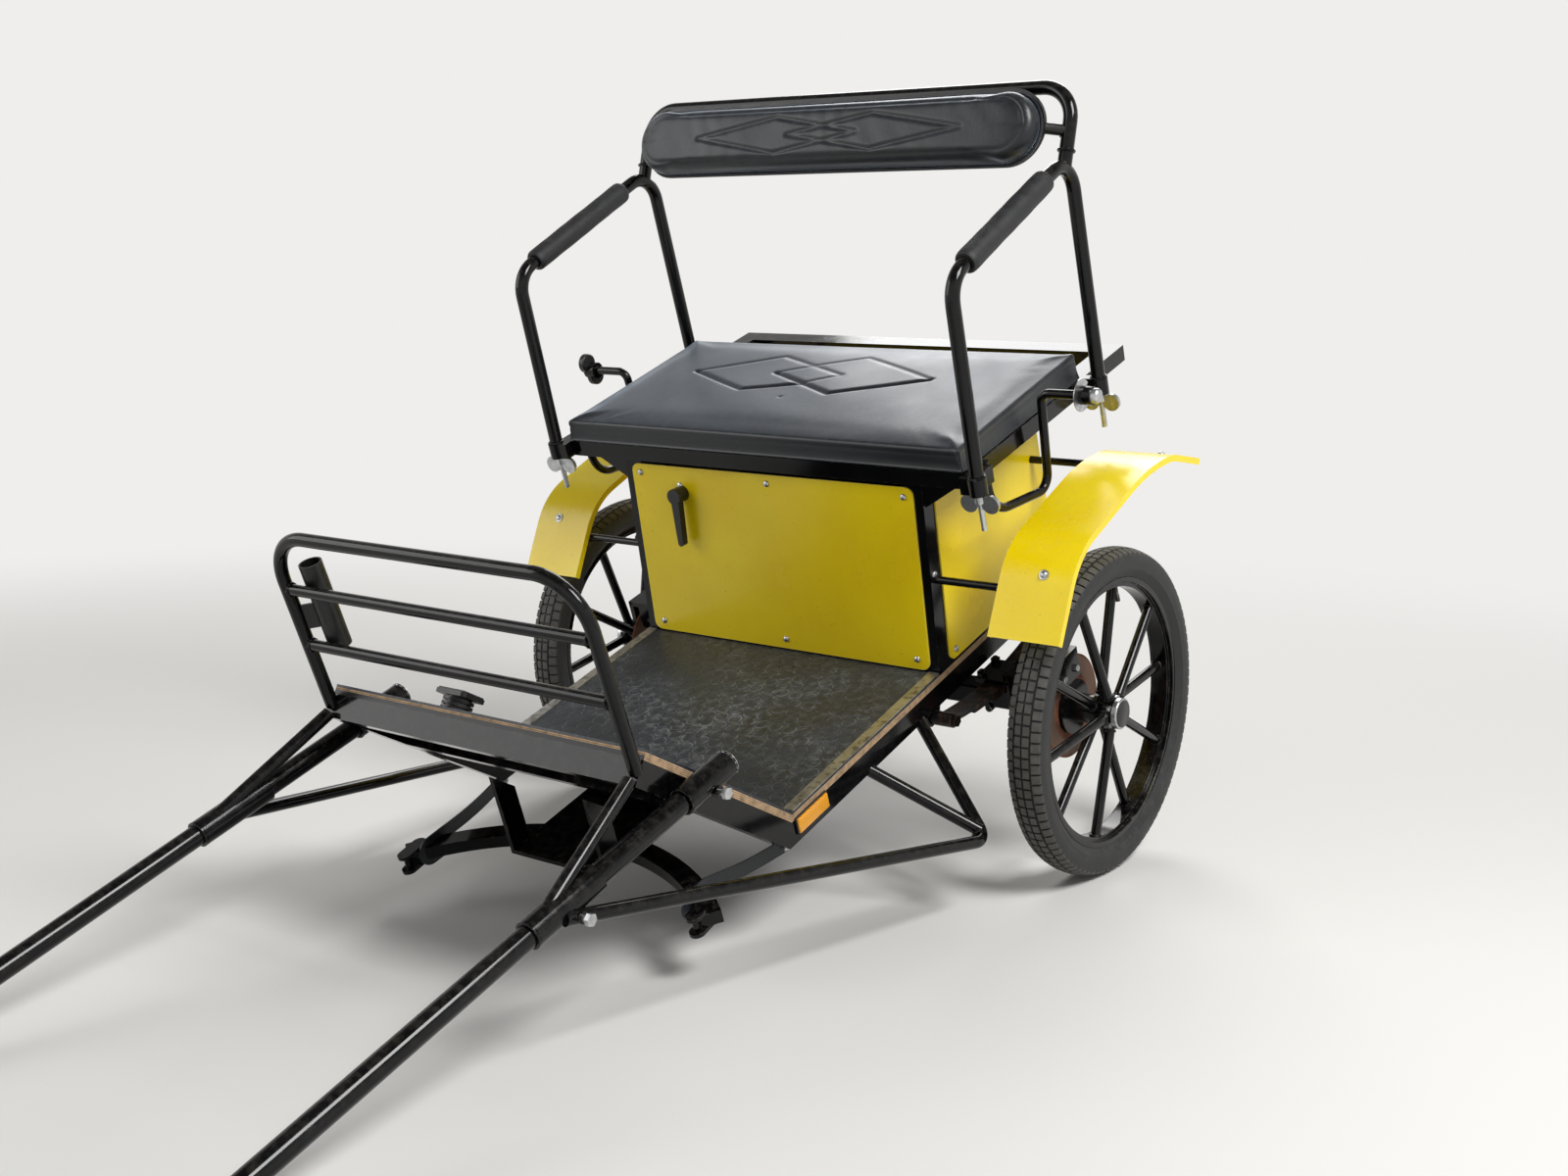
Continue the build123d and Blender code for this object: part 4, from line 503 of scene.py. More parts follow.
# The real material and how it was made come first; then what it gives the eye
finishes = {
    # Alkyd enamel brushed on steel tube: deep gloss black, faint peel, chips at edges, dust on top
    "black_tube": finish(
        "black_enamel", ("030304", "09090B"), 90, (0.07, 0.17), ("7C766B", 0.13), (2.0, 0.01),
        chipped, Specular_IOR_Level=0.3,
    ),
    # Enamelled sheet: strong yellow, even gloss, pale cut edges
    "yellow_panel": finish(
        "yellow_enamel", ("F8DC08", "F0D000"), 240, (0.18, 0.3), ("C9B66E", 0.1), (3.0, 0.01), pale_edge
    ),
    # Embossed PVC upholstery cloth: near-black with a broad soft sheen; the sheen's pale blue tint and the tones'
    # faint blue cast are a painted sky reflection, and the blue-grey film on upward faces is partly dust and
    # partly painted sky reflection
    "black_vinyl": finish(
        "black_vinyl", ("171A1F", "1E2228"), 120, (0.33, 0.45), ("7B8288", 0.1), (2.2, 0.035),
        leather_grain, Sheen_Weight=0.75, Sheen_Roughness=0.35, Sheen_Tint=srgb("C4D2E4"),
    ),
    # Extruded foam rubber: matt, slightly pitted dark grey
    "foam_grip": finish(
        "foam_rubber", ("131416", "1A1B1E"), 30, (0.5, 0.64), ("5C5A56", 0.14), (1.4, 0.06)
    ),
    # Moulded rubber matting: dark grey coins whose pale rims are partly scuffed by boots and partly painted
    # highlight
    "rubber_mat": finish(
        "rubber_matting", ("1E2227", "2A2F36"), 150, (0.36, 0.5), ("949798", 0.34), (1.6, 0.7), coins
    ),
    # Birch plywood, cut and painted black on its faces: bare striped edges
    "plywood": finish(
        "birch_plywood", ("060607", "0C0C0D"), 90, (0.16, 0.3), ("7C766B", 0.12), (1.5, 0.02),
        plies, Specular_IOR_Level=0.3,
    ),
    # Extruded aluminium as it left the mill: grey metal with drawn lines, stained
    "bright_alloy": finish(
        "mill_aluminium", ("C9C7C3", "B0ADA8"), 45, (0.3, 0.45), ("8C8273", 0.22), (1.2, 0.03),
        drawn_lines, Metallic=1.0,
    ),
    # Moulded acrylic: clear orange with a painted sparkle, each prism coloured lighter in its middle and darker at
    # its edge
    "amber_lens": finish(
        "amber_acrylic", ("F6AE1C", "EE9A10"), 20, (0.08, 0.14), ("A08058", 0.12), (4.0, 0.25),
        prisms, Coat_Weight=0.6,
    ),
    # Hot-rolled steel, painted once: dull black with rust coming through
    "spring_steel": finish(
        "painted_spring_steel", ("0E0E10", "171514"), 40, (0.35, 0.55), ("6F6455", 0.25), (2.0, 0.06),
        rusting,
    ),
    # Cast iron left bare: rust, and a band that the pads keep bright
    "rusty_iron": finish(
        "rusted_iron", ("5A3422", "7A4B30"), 16, (0.8, 0.95), ("8A6A4C", 0.3), (1.5, 0.08), swept_ring
    ),
    # Vulcanised rubber: matt grey-black, its tread's blocks scuffed by the road, with painted shade in the grooves
    "tyre_rubber": finish(
        "dusty_tyre_rubber", ("18191A", "222322"), 60, (0.5, 0.7), ("74726B", 0.22), (1.5, 0.05),
        dusty_tread,
    ),
    # Zinc-plated steel: bright grey, slightly cloudy
    "bright_zinc": finish(
        "bright_zinc_plate", ("C9CBCC", "AEB0B1"), 12, (0.26, 0.42), ("857C6E", 0.12), (1.5, 0.02),
        Metallic=1.0,
    ),
    # Moulded ABS: satin black
    "black_plastic": finish(
        "black_abs", ("0C0C0D", "151516"), 30, (0.3, 0.45), ("6F6A62", 0.16), (1.2, 0.03)
    ),
}
for part in frame["record"]["subparts"]:
    mesh = nodes[part["node"]].data
    mesh.materials.clear()
    mesh.materials.append(finishes[part["material_slot"]])

# Upholstery
CUSHION_CELL = 7.0
CUSHION_CENTRE = (0.0, 56.0, 405.5)
CUSHION_SIZE = (888.0, 420.0, 42.0)
CUSHION_REAR_RISE = 9.0
PUFF_FRAMES = 20
PUFF_PRESSURE = 4.0
BACK_LENGTH = 872.0
BACK_HEIGHT = 122.0
# The pad's middle, along and up from the shell's
PAD_SHIFT = (4.0, -5.0)
BACK_ORIGIN = np.array(
    [0.0, HOOP_FOOT[0] + (BACK_CENTRE_Z - HOOP_FOOT[1]) * np.tan(HOOP_LEAN), BACK_CENTRE_Z]
)
BACK_UP = np.array([0.0, sin(HOOP_LEAN), cos(HOOP_LEAN)])
BACK_OUT = np.array([0.0, -cos(HOOP_LEAN), sin(HOOP_LEAN)])
BACK_NEAR = 35.5
BACK_THICK = 42.0
BACK_ROLL = 18.0
# Stitched lines of the cushion: how deep, and their corners (x, y); the front ones are pulled deepest
CUSHION_STITCHES = (
    (5.0, ((-301, 91), (-141, 19), (-25, 56))),
    (5.0, ((-113, 101), (61, 19), (232, 104))),
    (1.7, ((38, 101), (-25, 56))),
    (1.7, ((-301, 91), (-146, 179), (38, 101))),
    (1.7, ((-113, 101), (41, 191), (232, 104))),
)
# Stitched diamonds of the pad: their middles and half sizes, along and up
BACK_DIAMONDS = (((-97.0, -3.0), (183.0, 33.0)), ((117.0, -3.0), (186.0, 32.0)))


def puff(piece, reach, held):
    """Inflates a pad with cloth simulation, each point at most reach mm, with the held points still."""
    mesh = piece.data
    before = driving(mesh)
    group = piece.vertex_groups.new(name="held")
    group.add(np.flatnonzero(held(before)).tolist(), 1.0, "REPLACE")
    cloth = piece.modifiers.new("puff", "CLOTH")
    cloth.settings.use_pressure = True
    cloth.settings.uniform_pressure_force = PUFF_PRESSURE
    cloth.settings.vertex_group_mass = "held"
    cloth.settings.effector_weights.gravity = 0.0
    cloth.collision_settings.use_collision = False
    cloth.point_cache.frame_end = PUFF_FRAMES
    for number in range(1, PUFF_FRAMES + 1):
        scene.frame_set(number)
    swollen = piece.evaluated_get(bpy.context.evaluated_depsgraph_get())
    after = driving(swollen.data)
    piece.modifiers.remove(cloth)
    piece.vertex_groups.clear()
    scene.frame_set(1)
    moved = after - before
    length = np.linalg.norm(moved, axis=1, keepdims=True)
    # A smooth cap: movement m becomes reach tanh(m / reach)
    capped = reach * np.tanh(length / reach) / np.maximum(length, 1e-9)
    move_points(mesh, before + moved * capped)


def subdivided(piece):
    """One Catmull-Clark subdivision, applied."""
    modifier = piece.modifiers.new("smooth", "SUBSURF")
    modifier.levels = modifier.render_levels = 1
    finer = bpy.data.meshes.new_from_object(piece.evaluated_get(bpy.context.evaluated_depsgraph_get()))
    piece.modifiers.remove(modifier)
    old, name = piece.data, piece.data.name
    piece.data = finer
    bpy.data.meshes.remove(old)
    finer.name = name
    finer.shade_smooth()


def furrow(u, v, line, width):
    """How deep in a stitched line each point (u, v) lies: exp(-(distance to the line / width)^2)."""
    deepest = np.zeros(len(u))
    spots = np.stack([u, v], 1)
    for start, end in zip(line[:-1], line[1:]):
        start, end = np.array(start, float), np.array(end, float)
        run = end - start
        share = np.clip((spots - start) @ run / (run @ run), 0, 1)
        gap = np.linalg.norm(spots - start - share[:, None] * run, axis=1)
        deepest = np.maximum(deepest, np.exp(-((gap / width) ** 2)))
    return deepest


def seat_cushion():
    """The seat's cushion: a crowned box of foam under vinyl, with two overlapping stitched diamonds."""
    box = rounded_box(CUSHION_CENTRE, CUSHION_SIZE, 6.0, CUSHION_CELL)
    piece = make_piece("seat_cushion_cover", [box], "black_vinyl", None, 180.0)
    points = driving(piece.data)
    u, v, w = ((points - CUSHION_CENTRE) / (np.array(CUSHION_SIZE) / 2)).T
    rise = np.clip(w, 0, 1)
    # The crown is 3 mm (1 - u^2)(1 - v^2), the foam thickens to the rear by up to 9 mm, and the
    # sides draw in by up to 1.5 mm between the corners
    bow_u, bow_v = 1 - np.minimum(u**2, 1), 1 - np.minimum(v**2, 1)
    points[:, 2] += rise * 3.0 * bow_u * bow_v
    points[:, 2] += rise * CUSHION_REAR_RISE * np.clip((v + 1) / 2, 0, 1)
    points[:, 0] -= np.sign(u) * 1.5 * bow_v * (np.abs(u) > 0.9)
    points[:, 1] -= np.sign(v) * 1.5 * bow_u * (np.abs(v) > 0.9)
    move_points(piece.data, points)
    bottom = CUSHION_CENTRE[2] - CUSHION_SIZE[2] / 2
    puff(piece, 5.0, lambda p: p[:, 2] < bottom + 4.0)
    subdivided(piece)
    points = driving(piece.data)
    x, y, z = points.T
    depth = y - CUSHION_CENTRE[1]
    lift = CUSHION_REAR_RISE * np.clip(depth / CUSHION_SIZE[1] + 0.5, 0, 1)
    top = np.clip((z - lift - bottom - 35.5) / 5.0, 0, 1)
    dip = np.max([deep * furrow(x, y, line, 5.0) for deep, line in CUSHION_STITCHES], axis=0)
    # Soft waves in the cover: long low swells, and a fuller roll along the front edge
    inner = np.clip(1 - (x / 425) ** 4, 0, 1) * np.clip(1 - (depth / 195) ** 4, 0, 1)
    wave = 0.9 * inner * np.sin(x / 61 + 1.3 * np.sin(y / 83)) * np.sin(y / 47 + 0.8 * np.sin(x / 97))
    roll = 1.6 * np.exp(-(((depth + 184) / 20) ** 2))
    hole = 2.5 * np.exp(-(((x + 28) ** 2 + (y + 6) ** 2) / 3.5**2))
    points[:, 2] += top * (wave + roll - dip - hole)
    # A sewn seam round the sides, 13 mm below the top's edge
    seam = 1.3 * np.exp(-(((z - lift - bottom - 29.0) / 2.2) ** 2))
    points[:, 0] -= np.sign(x) * seam * (np.abs(x) > 436)
    points[:, 1] -= np.sign(depth) * seam * (np.abs(depth) > 203)
    points[:, 2] = np.maximum(points[:, 2], bottom - 0.3)
    move_points(piece.data, points)
    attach(piece, "cart")
    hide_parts("seat_cushion")


def stadium(length, height, straight, arc):
    """Points round a stadium and their middles on its long axis: two straights and two half circles."""
    radius = height / 2
    half = length / 2 - radius
    x = np.linspace(-half, half, straight)
    t = np.linspace(pi / 2, -pi / 2, arc)[1:-1]
    top = np.stack([x, np.full(straight, radius)], 1)
    right = np.stack([half + radius * np.cos(t), radius * np.sin(t)], 1)
    edge = np.concatenate([top, right, -top, -right])
    middle = np.stack([np.clip(edge[:, 0], -half, half), np.zeros(len(edge))], 1)
    return edge, middle


def back_point(u, v, w):
    """A point u along, v up and w out from the pad's middle in the plane of the hoop's legs."""
    u, v, w = (np.asarray(a, float)[..., None] for a in (u, v, w))
    across_cart = np.array([1.0, 0.0, 0.0])
    return BACK_ORIGIN + (u + PAD_SHIFT[0]) * across_cart + (v + PAD_SHIFT[1]) * BACK_UP + w * BACK_OUT


def backrest_pad():
    """The back rest's pad: a stadium with a rolled edge, a sewn border and two overlapping diamonds."""
    edge, middle = stadium(BACK_LENGTH, BACK_HEIGHT, 120, 27)
    # Rows of (share of the way out to the rim, the rim's inset from the edge, height above the shell)
    curve = np.linspace(0, pi / 2, 6)
    section = [(share, BACK_ROLL, BACK_THICK) for share in np.linspace(0, 1, 8)[:-1]]
    section += [(1.0, BACK_ROLL * (1 - sin(a)), BACK_THICK - BACK_ROLL * (1 - cos(a))) for a in curve]
    section += [(1.0, 0.0, 16.0), (1.0, 0.0, 8.0)]
    section += [(share, 2.0, 0.0) for share in np.linspace(1, 0, 5)]
    rows = []
    outward = unit(edge - middle)
    for share, inset, height in section:
        rim = edge - outward * inset
        flat = middle + share * (rim - middle)
        rows.append(back_point(flat[:, 0], flat[:, 1], np.full(len(flat), BACK_NEAR + height)))
    shell = (np.concatenate(rows), quads(len(rows), len(edge), False, True))
    piece = make_piece("backrest_pad_cover", [shell], "black_vinyl", None, 180.0)
    puff(piece, 6.0, lambda p: (p - BACK_ORIGIN) @ BACK_OUT < BACK_NEAR + 6.0)
    subdivided(piece)
    points = driving(piece.data)
    local = points - BACK_ORIGIN
    x, v, w = local[:, 0] - PAD_SHIFT[0], local @ BACK_UP - PAD_SHIFT[1], local @ BACK_OUT
    front = np.clip((w - BACK_NEAR - 30.0) / 6.0, 0, 1)
    half_straight = (BACK_LENGTH - BACK_HEIGHT) / 2
    reach = np.hypot(x - np.clip(x, -half_straight, half_straight), v)
    # The border's seam runs 17 mm inside the outline, deeper along the top
    seam = (1.8 + 1.2 * (v > 0)) * np.exp(-(((reach - BACK_HEIGHT / 2 + 17.0) / 2.8) ** 2))
    corners = np.array([(-1, 0), (0, 1), (1, 0), (0, -1), (-1, 0)])
    lines = [spot + corners * half for spot, half in BACK_DIAMONDS]
    dip = np.max([3.4 * furrow(x, v, line, 3.6) for line in lines], axis=0)
    # Curved creases run down the cover: waves along the pad whose crests bend with its height
    bend = x / 7.5 + 2.2 * np.sin(v / 24 + np.sin(x / 90)) + 1.5 * np.sin(x / 41)
    wave = 0.35 * np.sin(bend) * (0.5 + 0.5 * np.sin(x / 53 + v / 30))
    points += (front * (wave - seam - dip))[:, None] * BACK_OUT
    move_points(piece.data, points)
    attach(piece, "cart")
    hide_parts("backrest_pad")


def piping():
    """A sewn cord of vinyl round the back rest's pad where it meets the shell, 5 mm across."""
    edge, middle = stadium(BACK_LENGTH + 4.0, BACK_HEIGHT + 4.0, 90, 25)
    t = np.linspace(0, 2 * pi, 8, endpoint=False)
    outward = unit(edge - middle)
    flat = edge[:, None] + 2.5 * np.cos(t)[None, :, None] * outward[:, None]
    height = np.broadcast_to(BACK_NEAR + 3.5 + 2.5 * np.sin(t), flat.shape[:2])
    points = back_point(flat[..., 0], flat[..., 1], height).reshape(-1, 3)
    cord = (points, quads(len(edge), len(t), True, True))
    make_piece("backrest_piping", [cord], "black_vinyl")


def arm_grips():
    """Foam sleeves on the arm rests: a bored tube, slightly lumpy and nipped in at its ends."""
    bore = TUBE_RADIUS + 0.3
    for name, side in SIDES:
        ends_yz = ((y, ARM_FRONT[1] + (y - ARM_FRONT[0]) * ARM_SLOPE) for y in (-95.0, 182.0))
        start, end = (np.array([side * ARM_X, *spot]) for spot in ends_yz)
        length = np.linalg.norm(end - start)
        h = np.linspace(0, length, 70)
        ends = np.minimum(h, length - h)
        radius = 20.6 - 3.2 * np.exp(-ends / 2.5) + 0.35 * np.sin(h / 13) * np.sin(h / 29 + side)
        sleeve = turned([*zip(h, radius), (length, bore), (0.0, bore)], start, end - start, 36, True)
        piece = make_piece(f"foam_grip_{name}", [sleeve], "foam_grip")
        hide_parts(f"arm_grip_{name}")


# Tyres: 98 tread pitches round, each of 8 columns that fall on the blocks' edges
PITCHES = 98
PITCH_COLUMNS = np.array([0.0, 0.04, 0.18, 0.22, 0.5, 0.54, 0.68, 0.72])
TREAD_DEPTH = 3.8
TREAD_HALF_WIDTH = 30.5
CROWN_DROP = 8.2
BEAD_RADIUS = 237.3
BLOCKS_EDGE = 13.4
# Distances across the tread from its middle, at the edges of grooves and blocks
TREAD_LINES = np.array([1.1, 1.9, 8.0, 13.0, 13.8, 16.6, 17.4, 24.0, 29.0, 30.5])


def on_tread(distance, radius):
    """True for points of a tyre's section that are on the tread: how far from its middle, and where."""
    return (distance < TREAD_HALF_WIDTH + 0.5) & (radius > 280.0)


def tyre(name, side):
    """A tyre: its section of (across, radius) turned about the axle, cut by the tread's grooves.

    The cut is 1 in the round grooves at 0 and 15.2 mm from the middle, and in cross grooves of each
    row of blocks, which in the shoulders lie half a pitch from those in the middle."""
    crown = np.concatenate([-TREAD_LINES[::-1], TREAD_LINES])
    wall_t = np.linspace(0, 1, 10)[1:]
    wall_x = TREAD_HALF_WIDTH + 4.5 * np.sin(wall_t * pi * 0.72) - 13.0 * wall_t**3
    wall_r = TYRE_RADIUS - CROWN_DROP - 45.0 * wall_t
    crown_r = TYRE_RADIUS - CROWN_DROP * (np.abs(crown) / TREAD_HALF_WIDTH) ** 2.2
    x = np.concatenate([-wall_x[::-1], crown, wall_x, [19.0, 0.0, -19.0]])
    r = np.concatenate([wall_r[::-1], crown_r, wall_r, 3 * [BEAD_RADIUS]])
    turn = (np.arange(PITCHES)[:, None] + PITCH_COLUMNS[None, :]).ravel() / PITCHES
    phase = np.tile(PITCH_COLUMNS, PITCHES)[None, :]
    distance = np.abs(x)[:, None]
    round_groove = (distance < 1.5) | ((distance > BLOCKS_EDGE) & (distance < 17.0))
    first_half = (phase > 0.01) & (phase < 0.2)
    second_half = (phase > 0.51) & (phase < 0.7)
    cross = np.where(distance < BLOCKS_EDGE, first_half, second_half)
    reach = r[:, None] - TREAD_DEPTH * (on_tread(distance, r[:, None]) & (round_groove | cross))
    # A rib where the sidewall meets the rim keeps dirt out: a ridge 1.4 mm high
    ridge = 1.4 * np.exp(-(((r - 257.0) / 2.4) ** 2)) * np.sign(x)
    sideways = np.broadcast_to((side * WHEEL_X + x + ridge)[:, None], reach.shape)
    angle = 2 * pi * turn[None, :]
    points = np.stack([sideways, reach * np.cos(angle), reach * np.sin(angle) - AXLE_DROP], -1)
    shell = (points.reshape(-1, 3), quads(len(x), len(turn), True, True))
    piece = make_piece(f"treaded_tyre_{name}", [shell], "tyre_rubber", f"wheel_{name}", 30.0)
    spots = driving(piece.data)
    radius = np.hypot(spots[:, 1], spots[:, 2] + AXLE_DROP)
    offset = np.abs(spots[:, 0] - side * WHEEL_X)
    tops = TYRE_RADIUS - CROWN_DROP * np.minimum(offset / TREAD_HALF_WIDTH, 1.2) ** 2.2
    tread = on_tread(offset, radius)
    deep = np.clip((tops - radius) / TREAD_DEPTH, 0, 1) * tread
    for attribute, values in (("groove", deep), ("tread", tread)):
        layer = piece.data.attributes.new(attribute, "FLOAT", "POINT")
        layer.data.foreach_set("value", values.astype(np.float32))
    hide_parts(f"tyre_{name}")


# Small fittings: the places of screws on the front panel (x, height), on the sides (y, z) and on the
# rear panel (x, z), and fender bolts by the (y, z) start and run of a straight and the way along it
FRONT_SCREWS = ((-299, 324), (3, 324), (299, 323), (-294, 22), (4, 22), (294, 22), (-204, 305))
SIDE_SCREWS = ((-115, 20), (-70, 324), (240, 20), (240, 324))
REAR_SCREWS = ((-300, 22), (-300, 322), (300, 22), (300, 322))
REAR_PANEL_Y = 265.0
FENDER_BOLTS = (((-206.0, 112.0), (102.0, 122.0), 115.0), ((262.0, 250.0), (104.0, -54.0), 68.0))
FENDER_BOLT_X = 554.0
TOE_LENGTH = 389.0
TOE_RAIL_DEPTH = 36.0
DASH_LEAN = radians(2.2)
DASH_BARS_Z = (372.0, 474.0)
ARM_FEET_Y = (-161.0, 276.0)
SLEEVE_REAR_Y = -772.0
SLEEVE_FRONT_Y = -876.0
FRONT_MOUTH_Y = -1209.0
GUARD_BRACE = ((512.0, -366.0, -186.0), (322.0, -412.0, -50.0))
SPOKES = 10
SPOKE_START = radians(-8.0)
SPOKE_STEP = 2 * pi / SPOKES
SPOKE_ROOT_RADIUS = 24.0
SPOKE_TIP_RADIUS = 226.0
HUB_FLANGE_GAP = 24.0
HUB_NUT_RADIUS = 25.0
VALVE_ANGLE = radians(68.0)
REFLECTOR_YZ = (FOLD_Y + 43.5, -28.0)
STRAP_X = 318.0
STRAP_ARM_X = 276.0
SWINGLETREE_Y = -833.0
PEDAL_X = -225.0
PEDAL_HEIGHT = 225.0
PEDAL_FACE = 49.4
DOME = ((0.0, 0.0), (0.0, 6.2), (1.4, 6.2), (2.6, 5.4), (3.6, 3.9), (4.2, 2.0), (4.4, 0.0))
WASHER = ((0.0, 0.0), (0.0, 9.0), (0.9, 9.0), (1.2, 8.4), (1.2, 0.0))


def hex_head(spot, direction, flats, height):
    """A hexagon bolt head or nut with a chamfered top: a turned profile of six segments."""
    radius = flats / sqrt(3)
    chamfer = ((height * 0.85, radius), (height, radius * 0.86))
    profile = ((0.0, 0.0), (0.0, radius), *chamfer, (height, 0.0))
    return turned(profile, spot, direction, 6)


def on_front(x, height):
    """A point on the seat box's front panel, by its distance up the panel."""
    return (x, BOX_FRONT_Y + height * sin(BOX_LEAN), height * cos(BOX_LEAN))


def bolts():
    """Domed screws in the panels, and washered bolts through the fenders into their stays."""
    facing = (0, -cos(BOX_LEAN), sin(BOX_LEAN))
    shells = [turned(DOME, on_front(x, height), facing, 16) for x, height in FRONT_SCREWS]
    for name, side in SIDES:
        places = [(side * (FLOOR_HALF_WIDTH + 3.0), y, z) for y, z in SIDE_SCREWS]
        places.append((side * FLOOR_HALF_WIDTH, -136, 178))
        shells += [turned(DOME, place, (side, 0, 0), 16) for place in places]
    shells += [turned(DOME, (x, REAR_PANEL_Y, z), (0, 1, 0), 16) for x, z in REAR_SCREWS]
    make_piece("panel_screws", shells, "bright_zinc")
    shells = []
    for name, side in SIDES:
        for start, run, along in FENDER_BOLTS:
            way = unit(run)
            spot = (side * FENDER_BOLT_X, *(start + way * along))
            out = (0, -way[1], way[0])
            shells.append(turned(WASHER, spot, out, 20))
            shells.append(turned([(h + 1.1, r) for h, r in DOME], spot, out, 16))
    make_piece("fender_bolts", shells, "bright_zinc")


def weld_beads():
    """Rippled welds round the joints of the tubes, under the same enamel."""
    shells = []
    # The dash hoop leans back from the toe rails' front end
    foot_y = FOLD_Y - TOE_LENGTH * cos(TOE_ANGLE) - TOE_RAIL_DEPTH * sin(TOE_ANGLE)
    foot_z = TOE_LENGTH * sin(TOE_ANGLE) - TOE_RAIL_DEPTH * cos(TOE_ANGLE)
    for name, side in SIDES:
        for z in DASH_BARS_Z:
            y = foot_y - (z - foot_z) * np.tan(DASH_LEAN)
            shells.append(bead((side * (DASH_HALF_WIDTH - 10.5), y, z), (1, 0, 0), 9.8, 2.4))
        # The hoop's legs on the arms, and the struts of the back rest on the hoop's legs
        leg = np.array([side * ARM_X, *HOOP_FOOT]) + 13.5 * BACK_UP
        shells.append(bead(leg, BACK_UP, TUBE_RADIUS + 0.6, 2.8))
        shells.append(bead(BACK_ORIGIN + (side * (ARM_X - 12.5), 0, 0), (1, 0, 0), 10.2, 2.2))
        # The arms' feet in their sockets, the guard bar on its sleeve, and the sleeve's two ends
        for y in ARM_FEET_Y:
            shells.append(bead((side * ARM_X, y, 385.0), (0, 0, 1), TUBE_RADIUS + 0.8, 2.4))
        guard_spot = (side * (SHAFT_X + 2.0), SLEEVE_REAR_Y - 49.0, SHAFT_Z - 13.0)
        shells.append(bead(guard_spot, (1, 0, 0), 9.2, 2.0))
        for y in (SLEEVE_REAR_Y + 2.0, SLEEVE_FRONT_Y - 2.0):
            shells.append(bead((side * SHAFT_X, y, SHAFT_Z), (0, 1, 0), 20.6, 1.6))
        # The guard bar's brace, at the guard's bend
        start, end = (np.array(spot) * (side, 1, 1) for spot in GUARD_BRACE)
        way = unit(end - start)
        shells.append(bead(start + way * 22.0, way, 11.4, 2.6))
    make_piece("weld_beads", shells, "black_tube")


def sleeve_mouths():
    """Collars at the sleeves' mouths, a ring with rounded lips: rubbed bright at the rear by the shafts,
    and enamelled at the front."""
    profile = ((0.0, 17.6), (0.0, 20.6), (0.9, 21.7), (4.1, 21.7), (5.0, 20.6), (5.0, 17.6))
    for piece_name, slot, y, way in (
        ("sleeve_collars", "bright_zinc", SLEEVE_REAR_Y, 1),
        ("front_collars", "black_tube", FRONT_MOUTH_Y, -1),
    ):
        spots = [(side * SHAFT_X, y, SHAFT_Z) for name, side in SIDES]
        shells = [turned(profile, spot, (0, way, 0), 40, True) for spot in spots]
        make_piece(piece_name, shells, slot)


def ray(angle):
    """A unit vector square to the axle, at an angle up from straight back."""
    return np.array([0.0, cos(angle), sin(angle)])


def wheel_fittings(name, side):
    """Nuts on the hub's outer flange between its spokes, and each spoke's welds at rim and hub."""
    axle = np.array([0.0, 0.0, -AXLE_DROP])
    nuts, welds = [], []
    for k in range(SPOKES):
        way_out = ray(SPOKE_START + k * SPOKE_STEP)
        outer = k % 2
        root = side * (HUB_OUTER_FLANGE_X if outer else HUB_OUTER_FLANGE_X - HUB_FLANGE_GAP)
        tip = side * (WHEEL_X + (6.0 if outer else -6.0))
        start = axle + (root, 0, 0) + way_out * SPOKE_ROOT_RADIUS
        end = axle + (tip, 0, 0) + way_out * SPOKE_TIP_RADIUS
        way = unit(end - start)
        welds.append(bead(end - way * 1.5, way, 9.2, 2.2))
        welds.append(bead(start + way * 9.5, way, 9.0, 2.0))
        if not outer:
            spot = axle + (side * (HUB_OUTER_FLANGE_X + 4.0), 0, 0) + way_out * HUB_NUT_RADIUS
            nuts.append(hex_head(spot, (side, 0, 0), 11.0, 5.5))
    make_piece(f"wheel_nuts_{name}", nuts, "bright_zinc", f"wheel_{name}")
    make_piece(f"spoke_welds_{name}", welds, "black_tube", f"wheel_{name}")


def valve_and_cap(name, side):
    """A valve's rubber stem that stands in from the rim, and a dark disc on the hub cap's face that paints the
    shade and dark reflection the face shows.
    """
    way = ray(VALVE_ANGLE)
    root = np.array([side * (WHEEL_X + 6.0), 0.0, -AXLE_DROP]) + way * (RIM_RADIUS - 2.0)
    stem = ((0.0, 0.0), (0.0, 5.6), (3.0, 5.6), (5.0, 4.2), (20.0, 3.6), (21.0, 4.2), (33.0, 4.2))
    stem += ((34.0, 3.2), (34.0, 0.0))
    # Painted shade: the dark disc stands for the shade and dark reflection on the cap's face
    shade_disc = ((-0.4, 0.0), (-0.4, 24.6), (0.5, 24.6), (0.8, 24.2), (0.8, 0.0))
    shells = [
        turned(stem, root, (0.3 * side, 0, 0) - way, 14),
        turned(shade_disc, (side * (HUB_CAP_X + 10.0), 0.0, -AXLE_DROP), (side, 0, 0), 40),
    ]
    make_piece(f"valve_and_cap_shade_{name}", shells, "black_plastic", f"wheel_{name}")


def reflectors():
    """Amber side reflectors: a lens with rounded edges in a shallow frame, on each rail."""
    for piece_name, slot, size, edge in (
        ("reflector_lenses", "amber_lens", (7.4, 84.0, 27.0), 3.0),
        ("reflector_frames", "black_plastic", (4.0, 88.0, 31.0), 1.5),
    ):
        x = FLOOR_HALF_WIDTH + size[0] / 2
        shells = [rounded_box((side * x, *REFLECTOR_YZ), size, edge) for name, side in SIDES]
        piece = make_piece(piece_name, shells, slot)
        if slot == "amber_lens":
            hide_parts("side_reflectors")


